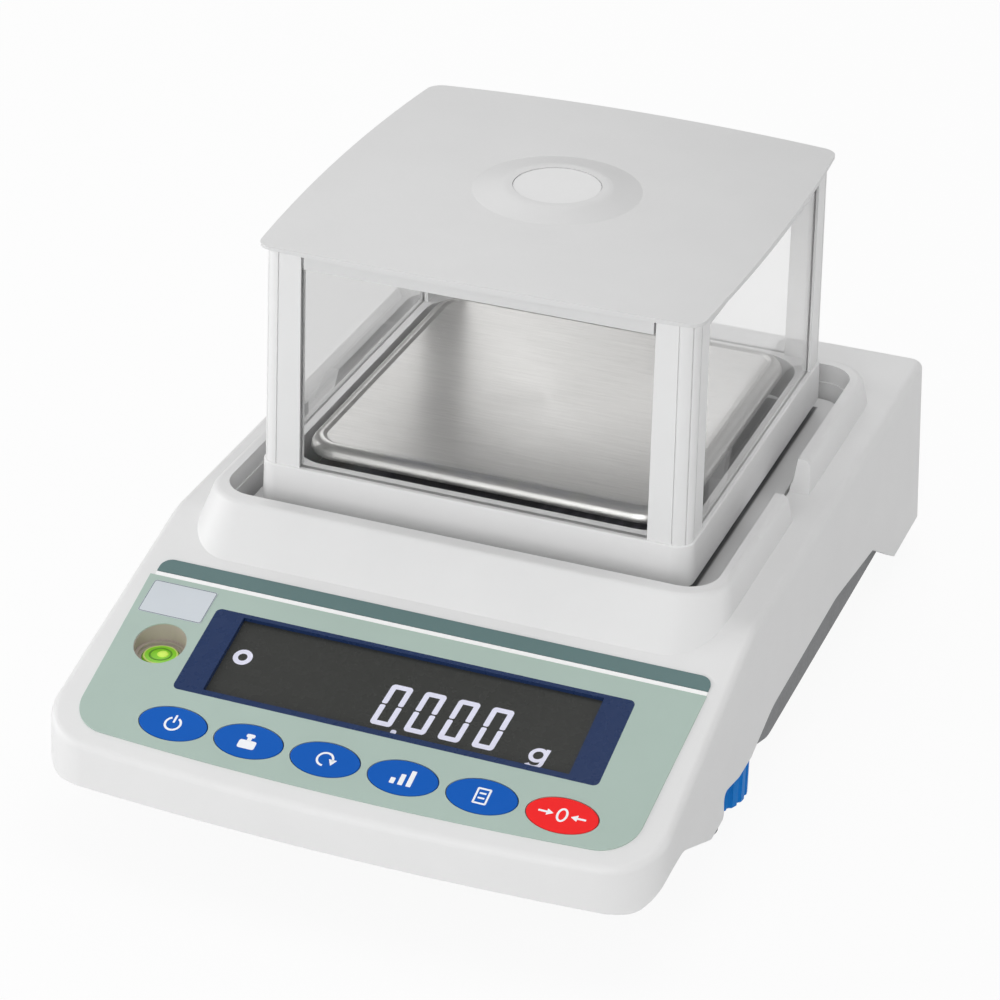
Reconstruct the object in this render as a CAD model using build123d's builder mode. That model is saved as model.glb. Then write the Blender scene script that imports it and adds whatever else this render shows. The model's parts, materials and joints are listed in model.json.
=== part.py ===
from build123d import *
import os
from math import atan, cos, degrees, radians, sin, tan

# Bench precision balance with a small square draft shield.
# Millimetres, +Z up, +X to the user's right, +Y to the rear.
# The origin is on the bench, under the middle of the whole outline.

os.makedirs("parts", exist_ok=True)

# Driving dimensions of the case
NOSE_Y = -158.5
REAR_Y = 155.3
CONNECTOR_Y = 158.5
SKIRT_Z = 11.5
HALF_WIDTH_LOW = 105.5
HALF_WIDTH_DECK = 102.1
DECK_Z = 75.1
CASE_WALL = 3.0
NOSE_BOW_R = 1100.0
NOSE_CORNER_R = 19.0
REAR_CORNER_R = 5.0
SHOULDER_R = 2.6
SIDE_DRAFT = (HALF_WIDTH_LOW - HALF_WIDTH_DECK) / (DECK_Z - SKIRT_Z)

# Sloped control panel: its plane passes through this line and rises to the rear
PANEL_Y = -81.9
PANEL_Z = 66.3
PANEL_SLOPE = 16.8

# Weighing well and its raised rim, about the pan centre
PAN_Y = 32.5
WELL_HALF_X = 86.0
WELL_HALF_Y = 85.2
WELL_CORNER_R = 11.0
WELL_FLOOR_Z = 70.1
WELL_CHANNEL = 3.0
WELL_CHANNEL_Z = 67.6
WELL_STEP_Z = 77.3
RIM_TOP_Z = 84.4
RIM_HALF = 90.2
RIM_CORNER_R = 15.0
RIM_SIDE_SLOPE = 0.26
RIM_FRONT_SLOPE = 0.93
NOTCH_Y = (18.2, 37.5)
NOTCH_RISE = 0.75

# Draft shield, about the pan centre
RING_TOP_Z = 92.5
RING_BOTTOM_Z = 76.6
RING_HALF = 76.2
RING_TOP_HALF = 75.7
RING_CORNER_R = 6.5
RING_OPENING_HALF = 69.0
RING_OPENING_R = 14.0
POST_HALF = 75.0
POST_FACE = 14.0
POST_CORNER_R = 5.0
POST_TOP_Z = 170.3
POST_LEAN = 1.4
PANE_FACE_HALF = 74.1
PANE_THICK = 2.3
PANE_TOP_Z = 164.4
PANE_IN_POST = 4.0

# Lid
LID_HALF_MIDDLE = 78.2
LID_HALF_CORNER = 75.3
LID_CROWN_Z = 173.8
LID_CROWN_R = 2340.0
LID_CORNER_R = 5.5
RAIL_Z = 164.6
RAIL_HALF_LENGTH = 59.5
BOSS_R = 29.0
BOSS_TOP_Z = 175.4
DISC_R = 15.0

# Weighing pan
PAN_HALF = 65.0
PAN_CORNER_R = 12.0
PAN_RIM_Z = 96.9
PAN_SKIRT_Z = 92.4
PAN_SHEET = 0.8
PAN_DISH = 0.6
PAN_ROLL_R = 4.0

# Control panel pieces: t is the distance down the slope from the panel line
SHEET = 0.4
STRIP_TOP_T = -5.9
STRIP_LEFT_X = -94.7
STRIP_RIGHT_X = 96.0
OVERLAY_TOP_T = 2.0
OVERLAY_LOW_T = 72.6
OVERLAY_HALF_TOP = 96.2
OVERLAY_HALF_LOW = 93.8
OVERLAY_CORNER_R = 13.0
WINDOW_X = (-68.0, 75.9)
WINDOW_T = (10.2, 46.4)
LCD_X = (-58.0, 65.8)
LCD_T = (11.7, 44.2)
KEY_PITCH = 26.1
KEY_FIRST_X = -61.1
KEY_T = 60.2
KEY_HALF_LONG = 11.5
KEY_HALF_SHORT = 6.7
KEY_GAP = 0.3
LEVEL_X = -79.8
LEVEL_T = 29.8
LEVEL_SLEEVE_R = 9.0
LEVEL_BORE_R = 8.4
LEVEL_STEP_R = 7.3
VIAL_R = 6.2
VIAL_TOP_Z = 53.8

# Levelling feet at the front and plain feet at the rear
FOOT_X = 88.0
FOOT_Y = -60.9
DIAL_R = 16.4
DIAL_LOW_Z = 15.6
DIAL_TOP_Z = 29.0
PAD_R = 7.7
PAD_H = 3.5
STUD_R = 3.0
DIAL_FLUTES = 22
REAR_FOOT_X = 80.0
REAR_FOOT_Y = 126.0

# Base tray
TRAY_HALF = 97.75
TRAY_FLOOR_Z = 9.6
TRAY_FRONT_Z = 31.0
TRAY_TOP_Z = 41.0
TRAY_WALL = 3.0
TRAY_FRONT_Y = -150.0
TRAY_REAR_Y = 149.5
PILLARS = [(88.5, -128.0), (92.3, 2.0), (92.3, 84.0), (92.3, 140.0)]
PILLAR_R = 4.6
SCREW_R = 1.5
SCREW_SEAT_Z = 34.0
SCREW_TIP_Z = 47.0
BOARD_Z = 24.0
BOARD_X = (-86.5, -40.0)
BOARD_Y = (-4.0, 144.0)
BOARD_THICK = 1.6
DISPLAY_BOARD_DEPTH = 6.5
KEY_BOARD_DEPTH = 5.2
SOCKET_Z = 31.6
SOCKET_X = {"power": -76.0, "serial": -51.0, "usb": -25.0, "earth": -10.0}

# Hole, bosses, posts and windows that several pieces share
WELL_HOLE_R = 14.0
DISPLAY_BOSS_X = (-64.5, 72.4)
DISPLAY_BOSS_T = (7.2, 49.4)
KEY_BOSS_X = (-74.6, 81.9)
KEY_BOSS_T = (53.5, 66.0)
REAR_BOSS_Z = 5.0
REAR_PAD_R = 8.8
BOARD_POSTS = [(-82.5, 4.0), (-44.0, 4.0), (-82.5, 118.0), (-44.0, 118.0)]
SENSOR_SCREWS = [(-24.0, 14.0), (24.0, 14.0), (-24.0, 128.0), (24.0, 128.0)]
SCREW_HEAD_R = 2.8
INNER_SCREW_R = 1.4
INNER_HEAD_R = 2.6
REAR_WINDOW_X = (-86.0, -3.0)
REAR_WINDOW_H = 26.0

KEY_NAMES = ("power", "calibrate", "mode", "sample", "print", "zero")
KEY_STAND = 0.15
LABEL_X = (-93.3, -70.6)
LABEL_T = (4.2, 18.4)
OVERLAY_BOW_R = 1280.0
REAR_PANEL_Y = 152.2
REAR_PANEL_THICK = 2.5
SOCKET_BODY_Y = 138.0
SOCKET_NECK_Y = 144.0

# Pan support and dust plate
HUB_LOW_Z = 78.0
TAPER_R = 5.0
TAPER_TOP_Z = 86.0
SUPPORT_PLATE_Z = 89.5
SUPPORT_ARM = 50.0
PAN_UNDER_Z = PAN_RIM_Z - PAN_DISH - PAN_SHEET
DUST_TOP_Z = 72.0

# Shield details
RING_BELLY_Z = 80.0
RING_UNDER_R = 1.5
RING_FOOT_REACH = 96.9
POST_LEG = 4.5
POST_GROOVE = 0.5
RAIL_FACE_HALF = 73.4
RAIL_THICK = 2.5
DISC_LOW_Z = 174.0

# Force sensor, all about x = 0
BRACKET_TOP_Z = 17.6
CARRIER_LOW_Z = 20.0
PIVOT_R = 1.5
POT_FLOOR_Z = 23.0
POT_TOP_Z = 40.0
SENSOR_HALF = 20.0
CARRIER_Y = (20.0, 45.0)
BRACKET_HALF = 30.0
ARM_Z = 34.0
UPRIGHT_Y = (62.0, 82.0)
GUIDE_LOW_Z = 28.0
GUIDE_HIGH_Z = 57.0
GUIDE_SHEET = 0.4
LEVER_PIVOT_Y = 66.0
LEVER_LINK_Y = 49.0
LEVER_Z = 48.5
COIL_Y = 108.0
COIL_R = 12.5


# Shared planes and outlines


def level(z, y=0.0):
    """Horizontal plane at one height, with its origin at y on the centre line."""
    return Plane((0, y, z))


def panel(height=0.0):
    """Plane of the sloped control panel, raised by height along its outward normal."""
    slope = radians(PANEL_SLOPE)
    return Plane((0, PANEL_Y, PANEL_Z), x_dir=(1, 0, 0), z_dir=(0, -sin(slope), cos(slope))).offset(height)


def panel_z(y):
    """Height of the control panel's surface at one y."""
    return PANEL_Z + (y - PANEL_Y) * tan(radians(PANEL_SLOPE))


def case_outline(z, inset=0.0):
    """Plan outline of the case at one height: bowed front, drafted sides, round corners."""
    half = HALF_WIDTH_LOW - (z - SKIRT_Z) * SIDE_DRAFT - inset
    front = NOSE_Y + inset
    front_side = front + half**2 / (2 * NOSE_BOW_R)
    rear = REAR_Y - inset
    with BuildSketch(level(z)) as outline:
        with BuildLine():
            ThreePointArc((-half, front_side), (0, front), (half, front_side))
            Polyline((half, front_side), (half, rear), (-half, rear), (-half, front_side))
        make_face()
        fillet(outline.vertices().group_by(Axis.Y)[0], NOSE_CORNER_R - inset)
        fillet(outline.vertices().group_by(Axis.Y)[-1], REAR_CORNER_R - inset)
    return outline.sketch


def rim_outline(z):
    """Outer outline of the rim round the well, wider towards its foot."""
    drop = RIM_TOP_Z - z
    half = RIM_HALF + drop * RIM_SIDE_SLOPE
    front = PAN_Y - RIM_HALF - drop * RIM_FRONT_SLOPE
    rear = PAN_Y + half
    with BuildSketch(level(z, (front + rear) / 2)) as outline:
        RectangleRounded(2 * half, rear - front, RIM_CORNER_R + drop * RIM_SIDE_SLOPE)
    return outline.sketch


def slab(plane, x_range, y_range, thickness, corner=0.0):
    """Plate on a plane, from ranges in that plane, with round corners."""
    width = x_range[1] - x_range[0]
    depth = y_range[1] - y_range[0]
    centre = ((x_range[0] + x_range[1]) / 2, (y_range[0] + y_range[1]) / 2)
    with BuildPart() as plate:
        with BuildSketch(plane):
            with Locations(centre):
                if corner:
                    RectangleRounded(width, depth, corner)
                else:
                    Rectangle(width, depth)
        extrude(amount=thickness)
    return plate.part


def key_outline(grow=0.0):
    """Ellipse of one key, grown all round."""
    Ellipse(KEY_HALF_LONG + grow, KEY_HALF_SHORT + grow)


PILLAR_PLACES = [(side * x, y) for x, y in PILLARS for side in (1, -1)]
KEY_X = [KEY_FIRST_X + KEY_PITCH * i for i in range(6)]
LEVEL_Y = PANEL_Y - LEVEL_T * cos(radians(PANEL_SLOPE))
# the panel's wall measured upright, and the line where the panel meets the deck
inner_panel = CASE_WALL / cos(radians(PANEL_SLOPE))
crease_y = PANEL_Y + (DECK_Z - PANEL_Z) / tan(radians(PANEL_SLOPE))


# Upper case: one moulded shell with the panel, deck, rim and well

with BuildPart() as case_cavity:
    loft(sections=[case_outline(5, CASE_WALL).face(), case_outline(90, CASE_WALL).face()], ruled=True)
    with BuildSketch(Plane.YZ):
        with BuildLine():
            Polyline(
                (NOSE_Y - 5, 0),
                (NOSE_Y - 5, panel_z(NOSE_Y - 5) - inner_panel),
                (crease_y, DECK_Z - CASE_WALL),
                (REAR_Y + 5, DECK_Z - CASE_WALL),
                (REAR_Y + 5, 0),
                close=True,
            )
        make_face()
    extrude(amount=HALF_WIDTH_LOW + 5, both=True, mode=Mode.INTERSECT)
    # the tub of the well hangs into the cavity
    with BuildSketch(level(WELL_FLOOR_Z - CASE_WALL, PAN_Y)):
        RectangleRounded(2 * WELL_HALF_X + 5, 2 * WELL_HALF_Y + 5, WELL_CORNER_R + 2.5)
    extrude(amount=40, mode=Mode.SUBTRACT)
    with BuildSketch(level(WELL_CHANNEL_Z - CASE_WALL + 0.6, PAN_Y)):
        RectangleRounded(2 * WELL_HALF_X + 5, 2 * WELL_HALF_Y + 5, WELL_CORNER_R + 2.5)
        inner_x = 2 * (WELL_HALF_X - WELL_CHANNEL) - 5
        inner_y = 2 * (WELL_HALF_Y - WELL_CHANNEL) - 5
        RectangleRounded(inner_x, inner_y, WELL_CORNER_R - WELL_CHANNEL - 2.5, mode=Mode.SUBTRACT)
    extrude(amount=10, mode=Mode.SUBTRACT)

with BuildPart() as upper_case:
    loft(sections=[case_outline(5).face(), case_outline(90).face()], ruled=True)
    with BuildSketch(Plane.YZ):
        with BuildLine():
            # lower edge: wave behind the nose, lobe before the dial, cut-out over it, arch, rear skirt
            FilletPolyline(
                (NOSE_Y - 5, 28.4),
                (-151.0, 28.4),
                (-138.5, 37.0),
                (-126.0, 37.0),
                (-99.0, 24.0),
                (-86.0, 24.0),
                (-86.0, 33.2),
                (-70.0, 29.6),
                (-57.0, 29.4),
                (-34.0, 35.0),
                (40.0, 36.0),
                (88.0, 30.0),
                (118.0, SKIRT_Z),
                (REAR_Y + 5, SKIRT_Z),
                (REAR_Y + 5, DECK_Z),
                (crease_y, DECK_Z),
                (NOSE_Y - 5, panel_z(NOSE_Y - 5)),
                radius=[6, 9, 12, 4, 2, 3, 4, 3, 40, 60, 1, 1, 0.5, 0.5, 25],
            )
            Line((NOSE_Y - 5, panel_z(NOSE_Y - 5)), (NOSE_Y - 5, 28.4))
        make_face()
    extrude(amount=HALF_WIDTH_LOW + 5, both=True, mode=Mode.INTERSECT)
    top_faces = upper_case.faces().filter_by(lambda f: f.normal_at(f.center()).Z > 0.9)
    shoulder = top_faces.edges().filter_by(lambda e: abs(e.center().X) > 80 or abs(e.center().Y) > 145)
    fillet(shoulder, SHOULDER_R)
    # raised rim round the well
    loft(sections=[rim_outline(WELL_FLOOR_Z - CASE_WALL).face(), rim_outline(RIM_TOP_Z).face()], ruled=True)
    fillet(upper_case.faces().sort_by(Axis.Z)[-1].edges(), 2.4)
    add(case_cavity.part, mode=Mode.SUBTRACT)
    # well, a little narrower below the step line, with a drip channel round its floor
    with BuildSketch(level(WELL_CHANNEL_Z, PAN_Y)):
        RectangleRounded(2 * WELL_HALF_X - 1, 2 * WELL_HALF_Y - 1, WELL_CORNER_R - 0.5)
        floor_x = 2 * (WELL_HALF_X - WELL_CHANNEL)
        floor_y = 2 * (WELL_HALF_Y - WELL_CHANNEL)
        RectangleRounded(floor_x, floor_y, WELL_CORNER_R - WELL_CHANNEL, mode=Mode.SUBTRACT)
    extrude(amount=30, mode=Mode.SUBTRACT)
    with BuildSketch(level(WELL_FLOOR_Z, PAN_Y)):
        RectangleRounded(2 * WELL_HALF_X - 1, 2 * WELL_HALF_Y - 1, WELL_CORNER_R - 0.5)
    extrude(amount=30, mode=Mode.SUBTRACT)
    with BuildSketch(level(WELL_STEP_Z, PAN_Y)):
        RectangleRounded(2 * WELL_HALF_X, 2 * WELL_HALF_Y, WELL_CORNER_R)
    extrude(amount=30, mode=Mode.SUBTRACT)
    # a finger notch through the rim on each side, with a sloped rear end
    with BuildSketch(Plane.YZ):
        with BuildLine():
            Polyline(
                (NOTCH_Y[0], DECK_Z),
                (NOTCH_Y[1], DECK_Z),
                (NOTCH_Y[1] + 15 * NOTCH_RISE, DECK_Z + 15),
                (NOTCH_Y[0], DECK_Z + 15),
                close=True,
            )
        make_face()
    extrude(amount=HALF_WIDTH_DECK, both=True, mode=Mode.SUBTRACT)
    # collar round the hole for the receiver post
    with BuildSketch(level(WELL_FLOOR_Z, PAN_Y)):
        Circle(WELL_HOLE_R + 2)
    extrude(amount=3.4)
    with BuildSketch(level(WELL_FLOOR_Z - 10, PAN_Y)):
        Circle(WELL_HOLE_R)
    extrude(amount=20, mode=Mode.SUBTRACT)
    # openings of the control panel: display, keys and bubble level
    with BuildSketch(panel(1)):
        with Locations(((WINDOW_X[0] + WINDOW_X[1]) / 2, -(WINDOW_T[0] + WINDOW_T[1]) / 2)):
            Rectangle(WINDOW_X[1] - WINDOW_X[0] - 3, WINDOW_T[1] - WINDOW_T[0] - 1.6)
        with Locations([(x, -KEY_T) for x in KEY_X]):
            key_outline(KEY_GAP)
    extrude(amount=-6, mode=Mode.SUBTRACT)
    with BuildSketch(level(VIAL_TOP_Z - 8)):
        with Locations((LEVEL_X, LEVEL_Y)):
            Circle(LEVEL_SLEEVE_R)
    extrude(amount=20, mode=Mode.SUBTRACT)
    # bosses for the two boards behind the panel
    with BuildSketch(panel(-CASE_WALL + 0.5)):
        with Locations(*[(x, -t) for x in DISPLAY_BOSS_X for t in DISPLAY_BOSS_T]):
            Circle(2.2)
    extrude(amount=-(DISPLAY_BOARD_DEPTH - CASE_WALL + 0.5))
    with BuildSketch(panel(-CASE_WALL + 0.5)):
        with Locations(*[(x, -t) for x in KEY_BOSS_X for t in KEY_BOSS_T]):
            Circle(1.8)
    extrude(amount=-(KEY_BOARD_DEPTH - CASE_WALL + 0.5))
    # screw pillars down to the tray
    for x, y in PILLARS:
        top = min(DECK_Z, panel_z(y)) - 1.5
        with BuildSketch(level(TRAY_TOP_Z)):
            with Locations((x, y), (-x, y)):
                Circle(PILLAR_R)
        extrude(amount=top - TRAY_TOP_Z)
        with BuildSketch(level(TRAY_TOP_Z)):
            with Locations((x, y), (-x, y)):
                Circle(SCREW_R + 0.05)
        extrude(amount=SCREW_TIP_Z + 0.6 - TRAY_TOP_Z, mode=Mode.SUBTRACT)
    # window in the rear wall for the connectors
    with BuildSketch(Plane.XZ.offset(-REAR_Y - 2)):
        with Locations(((REAR_WINDOW_X[0] + REAR_WINDOW_X[1]) / 2, SOCKET_Z)):
            RectangleRounded(REAR_WINDOW_X[1] - REAR_WINDOW_X[0], REAR_WINDOW_H, 2)
    extrude(amount=8, mode=Mode.SUBTRACT)
upper_case.part.label = "upper_case"
export_step(upper_case.part, "parts/upper_case.step")


# Hollow of the base tray, which follows the step of its floor

with BuildPart() as tray_hollow:
    with BuildSketch(level(0, (TRAY_REAR_Y + TRAY_FRONT_Y) / 2)):
        RectangleRounded(2 * (TRAY_HALF - TRAY_WALL), TRAY_REAR_Y - TRAY_FRONT_Y - 2 * TRAY_WALL, 9)
    extrude(amount=60)
    with BuildSketch(Plane.YZ):
        with BuildLine():
            FilletPolyline(
                (TRAY_FRONT_Y - 5, TRAY_FRONT_Z + TRAY_WALL),
                (-37.0, TRAY_FRONT_Z + TRAY_WALL),
                (-27.5, 18.0),
                (-13.0, TRAY_FLOOR_Z + TRAY_WALL),
                (TRAY_REAR_Y + 5, TRAY_FLOOR_Z + TRAY_WALL),
                (TRAY_REAR_Y + 5, 70.0),
                (TRAY_FRONT_Y - 5, 70.0),
                radius=[4, 8, 20, 0.5, 0.5],
            )
            Line((TRAY_FRONT_Y - 5, 70.0), (TRAY_FRONT_Y - 5, TRAY_FRONT_Z + TRAY_WALL))
        make_face()
    extrude(amount=TRAY_HALF + 5, both=True, mode=Mode.INTERSECT)


# Base tray: cast tub that closes the case, low under the well and raised over the levelling dials

with BuildPart() as base_tray:
    tray_length = TRAY_REAR_Y - TRAY_FRONT_Y
    tray_middle = (TRAY_REAR_Y + TRAY_FRONT_Y) / 2
    with BuildSketch(level(0, tray_middle)):
        RectangleRounded(2 * TRAY_HALF, tray_length, 12)
    extrude(amount=60)
    with BuildSketch(Plane.YZ):
        with BuildLine():
            FilletPolyline(
                (TRAY_FRONT_Y - 5, TRAY_FRONT_Z),
                (-39.0, TRAY_FRONT_Z),
                (-30.0, 15.5),
                (-14.0, TRAY_FLOOR_Z),
                (TRAY_REAR_Y + 5, TRAY_FLOOR_Z),
                (TRAY_REAR_Y + 5, TRAY_TOP_Z),
                (-98.0, TRAY_TOP_Z),
                (-106.0, 36.0),
                (TRAY_FRONT_Y - 5, 36.0),
                radius=[4, 8, 20, 0.5, 0.5, 3, 3],
            )
            Line((TRAY_FRONT_Y - 5, 36.0), (TRAY_FRONT_Y - 5, TRAY_FRONT_Z))
        make_face()
    extrude(amount=TRAY_HALF + 5, both=True, mode=Mode.INTERSECT)
    add(tray_hollow.part, mode=Mode.SUBTRACT)
    # stiffening ribs across the floor
    with BuildSketch(level(TRAY_FLOOR_Z + 1)):
        with Locations((0, -10), (0, 136)):
            Rectangle(2 * TRAY_HALF - 2, 1.8)
    extrude(amount=6)
    # pillars for the case screws, bosses for the levelling studs and the rear feet
    for x, y in PILLARS:
        low = TRAY_FRONT_Z if y < FOOT_Y else TRAY_FLOOR_Z
        with BuildSketch(level(low)):
            with Locations((x, y), (-x, y)):
                Circle(PILLAR_R)
        extrude(amount=TRAY_TOP_Z - low)
    with BuildSketch(level(TRAY_FRONT_Z)):
        with Locations((FOOT_X, FOOT_Y), (-FOOT_X, FOOT_Y)):
            Circle(7)
    extrude(amount=TRAY_TOP_Z - TRAY_FRONT_Z)
    with BuildSketch(level(REAR_BOSS_Z)):
        with Locations((REAR_FOOT_X, REAR_FOOT_Y), (-REAR_FOOT_X, REAR_FOOT_Y)):
            Circle(10.5)
    extrude(amount=TRAY_FLOOR_Z + TRAY_WALL - REAR_BOSS_Z, taper=-8)
    with BuildSketch(level(TRAY_FLOOR_Z + 1)):
        with Locations(*BOARD_POSTS):
            Circle(3)
    extrude(amount=BOARD_Z - TRAY_FLOOR_Z - 1)
    # bores and recesses
    with BuildSketch(level(REAR_BOSS_Z - 10)):
        with Locations(*PILLAR_PLACES):
            Circle(SCREW_HEAD_R + 0.4)
    extrude(amount=SCREW_SEAT_Z - REAR_BOSS_Z + 10, mode=Mode.SUBTRACT)
    with BuildSketch(level(SCREW_SEAT_Z)):
        with Locations(*PILLAR_PLACES):
            Circle(SCREW_R + 0.1)
        with Locations((FOOT_X, FOOT_Y), (-FOOT_X, FOOT_Y)):
            Circle(STUD_R + 0.06)
    extrude(amount=20, both=True, mode=Mode.SUBTRACT)
    with BuildSketch(level(REAR_BOSS_Z)):
        with Locations((REAR_FOOT_X, REAR_FOOT_Y), (-REAR_FOOT_X, REAR_FOOT_Y)):
            Circle(REAR_PAD_R)
    extrude(amount=1.5, mode=Mode.SUBTRACT)
    with BuildSketch(level(TRAY_FLOOR_Z)):
        with Locations(*BOARD_POSTS, *SENSOR_SCREWS):
            Circle(INNER_SCREW_R + 0.05)
        with Locations((0, PAN_Y)):
            Circle(9)
    extrude(amount=20, mode=Mode.SUBTRACT)
    with BuildSketch(level(TRAY_FLOOR_Z, PAN_Y)):
        Circle(12)
    extrude(amount=1.2, mode=Mode.SUBTRACT)
    # gap in the rear wall for the connectors
    with BuildSketch(Plane.XZ.offset(-TRAY_REAR_Y - 1)):
        with Locations(((REAR_WINDOW_X[0] + REAR_WINDOW_X[1]) / 2, SOCKET_Z)):
            Rectangle(REAR_WINDOW_X[1] - REAR_WINDOW_X[0] + 4, REAR_WINDOW_H + 4)
    extrude(amount=6, mode=Mode.SUBTRACT)
base_tray.part.label = "base_tray"
export_step(base_tray.part, "parts/base_tray.step")


# Feet: rubber pads at the rear, and at the front a pad under a stud that its knurled dial turns

with BuildPart() as rear_feet:
    with BuildSketch(level(0)):
        with Locations((REAR_FOOT_X, REAR_FOOT_Y), (-REAR_FOOT_X, REAR_FOOT_Y)):
            Circle(REAR_PAD_R)
    extrude(amount=REAR_BOSS_Z + 1.5)
    fillet(rear_feet.edges().group_by(Axis.Z)[0], 0.8)
rear_feet.part.label = "rear_feet"
export_step(rear_feet.part, "parts/rear_feet.step")

for side, name in ((1, "right"), (-1, "left")):
    with BuildPart() as foot_pad:
        with BuildSketch(Plane((side * FOOT_X, FOOT_Y, 0))):
            Circle(PAD_R)
        extrude(amount=PAD_H)
        fillet(foot_pad.edges().group_by(Axis.Z)[0], 0.6)
    foot_pad.part.label = f"foot_pad_{name}"
    export_step(foot_pad.part, f"parts/foot_pad_{name}.step")

    with BuildPart() as foot_stud:
        with BuildSketch(Plane((side * FOOT_X, FOOT_Y, 0), x_dir=(1, 0, 0), z_dir=(0, -1, 0))):
            with BuildLine():
                Polyline(
                    (0, PAD_H + 0.05),
                    (6.4, PAD_H + 0.05),
                    (6.8, 5.2),
                    (9.2, DIAL_LOW_Z),
                    (STUD_R, DIAL_LOW_Z),
                    (STUD_R, TRAY_TOP_Z - 1.0),
                    (STUD_R - 0.8, TRAY_TOP_Z - 0.2),
                    (0, TRAY_TOP_Z - 0.2),
                    close=True,
                )
            make_face()
        revolve(axis=Axis((side * FOOT_X, FOOT_Y, 0), (0, 0, 1)))
    foot_stud.part.label = f"foot_stud_{name}"
    export_step(foot_stud.part, f"parts/foot_stud_{name}.step")

    with BuildPart() as level_dial:
        with BuildSketch(Plane((side * FOOT_X, FOOT_Y, DIAL_LOW_Z))):
            Circle(DIAL_R)
            with PolarLocations(DIAL_R + 0.75, DIAL_FLUTES):
                Circle(1.5, mode=Mode.SUBTRACT)
        extrude(amount=DIAL_TOP_Z - DIAL_LOW_Z)
        chamfer(level_dial.faces().sort_by(Axis.Z)[0].edges().filter_by(lambda e: e.length < 10), 0.7)
        with BuildSketch(Plane((side * FOOT_X, FOOT_Y, DIAL_TOP_Z))):
            Circle(DIAL_R - 2.6)
            Circle(STUD_R + 3.0, mode=Mode.SUBTRACT)
        extrude(amount=-8, mode=Mode.SUBTRACT)
        with BuildSketch(Plane((side * FOOT_X, FOOT_Y, 0))):
            Circle(STUD_R)
        extrude(amount=60, mode=Mode.SUBTRACT)
    level_dial.part.label = f"level_dial_{name}"
    export_step(level_dial.part, f"parts/level_dial_{name}.step")


# Control panel: header strip, overlay, bare label, display and keys

with BuildPart() as header_strip:
    with BuildSketch(panel()) as strip_face:
        with Locations(((STRIP_LEFT_X + STRIP_RIGHT_X) / 2, -STRIP_TOP_T / 2)):
            Rectangle(STRIP_RIGHT_X - STRIP_LEFT_X, -STRIP_TOP_T)
        fillet(strip_face.vertices().group_by(Axis.Y)[-1], 4)
    extrude(amount=SHEET)
header_strip.part.label = "header_strip"
export_step(header_strip.part, "parts/header_strip.step")

with BuildPart() as control_overlay:
    with BuildSketch(panel()) as sheet:
        low_side_t = OVERLAY_LOW_T - OVERLAY_HALF_LOW**2 / (2 * OVERLAY_BOW_R)
        with BuildLine():
            ThreePointArc(
                (-OVERLAY_HALF_LOW, -low_side_t), (0, -OVERLAY_LOW_T), (OVERLAY_HALF_LOW, -low_side_t)
            )
            Polyline(
                (OVERLAY_HALF_LOW, -low_side_t),
                (OVERLAY_HALF_TOP, -OVERLAY_TOP_T),
                (-OVERLAY_HALF_TOP, -OVERLAY_TOP_T),
                (-OVERLAY_HALF_LOW, -low_side_t),
            )
        make_face()
        fillet(sheet.vertices().group_by(Axis.Y)[0], OVERLAY_CORNER_R)
        with Locations(((WINDOW_X[0] + WINDOW_X[1]) / 2, -(WINDOW_T[0] + WINDOW_T[1]) / 2)):
            RectangleRounded(WINDOW_X[1] - WINDOW_X[0], WINDOW_T[1] - WINDOW_T[0], 2, mode=Mode.SUBTRACT)
        with Locations([(x, -KEY_T) for x in KEY_X]):
            Ellipse(KEY_HALF_LONG + KEY_GAP, KEY_HALF_SHORT + KEY_GAP, mode=Mode.SUBTRACT)
        with Locations((LEVEL_X, -LEVEL_T)):
            Circle(LEVEL_BORE_R + 0.3, mode=Mode.SUBTRACT)
    extrude(amount=SHEET)
control_overlay.part.label = "control_overlay"
export_step(control_overlay.part, "parts/control_overlay.step")

with BuildPart() as label_plate:
    add(slab(panel(SHEET), LABEL_X, (-LABEL_T[1], -LABEL_T[0]), 0.15, 0.8))
label_plate.part.label = "label_plate"
export_step(label_plate.part, "parts/label_plate.step")

with BuildPart() as display_surround:
    with BuildSketch(panel(-1.2)):
        with Locations(((WINDOW_X[0] + WINDOW_X[1]) / 2, -(WINDOW_T[0] + WINDOW_T[1]) / 2)):
            Rectangle(WINDOW_X[1] - WINDOW_X[0] - 3.4, WINDOW_T[1] - WINDOW_T[0] - 2.0)
    extrude(amount=1.2)
    with BuildSketch(panel()):
        with Locations(((WINDOW_X[0] + WINDOW_X[1]) / 2, -(WINDOW_T[0] + WINDOW_T[1]) / 2)):
            RectangleRounded(WINDOW_X[1] - WINDOW_X[0], WINDOW_T[1] - WINDOW_T[0], 2)
    extrude(amount=SHEET)
    with BuildSketch(panel(-2)):
        with Locations(((LCD_X[0] + LCD_X[1]) / 2, -(LCD_T[0] + LCD_T[1]) / 2)):
            Rectangle(LCD_X[1] - LCD_X[0], LCD_T[1] - LCD_T[0])
    extrude(amount=4, mode=Mode.SUBTRACT)
display_surround.part.label = "display_surround"
export_step(display_surround.part, "parts/display_surround.step")

with BuildPart() as lcd_module:
    module_x = (LCD_X[0] - 2.4, LCD_X[1] + 2.4)
    module_y = (-LCD_T[1] - 1.0, -LCD_T[0] + 0.3)
    add(slab(panel(-1.2), module_x, module_y, 1.2 - DISPLAY_BOARD_DEPTH))
lcd_module.part.label = "lcd_module"
export_step(lcd_module.part, "parts/lcd_module.step")

with BuildPart() as display_board:
    add(slab(panel(-DISPLAY_BOARD_DEPTH), (-68.0, 76.0), (-51.2, -5.4), -BOARD_THICK, 1.5))
display_board.part.label = "display_board"
export_step(display_board.part, "parts/display_board.step")

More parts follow.
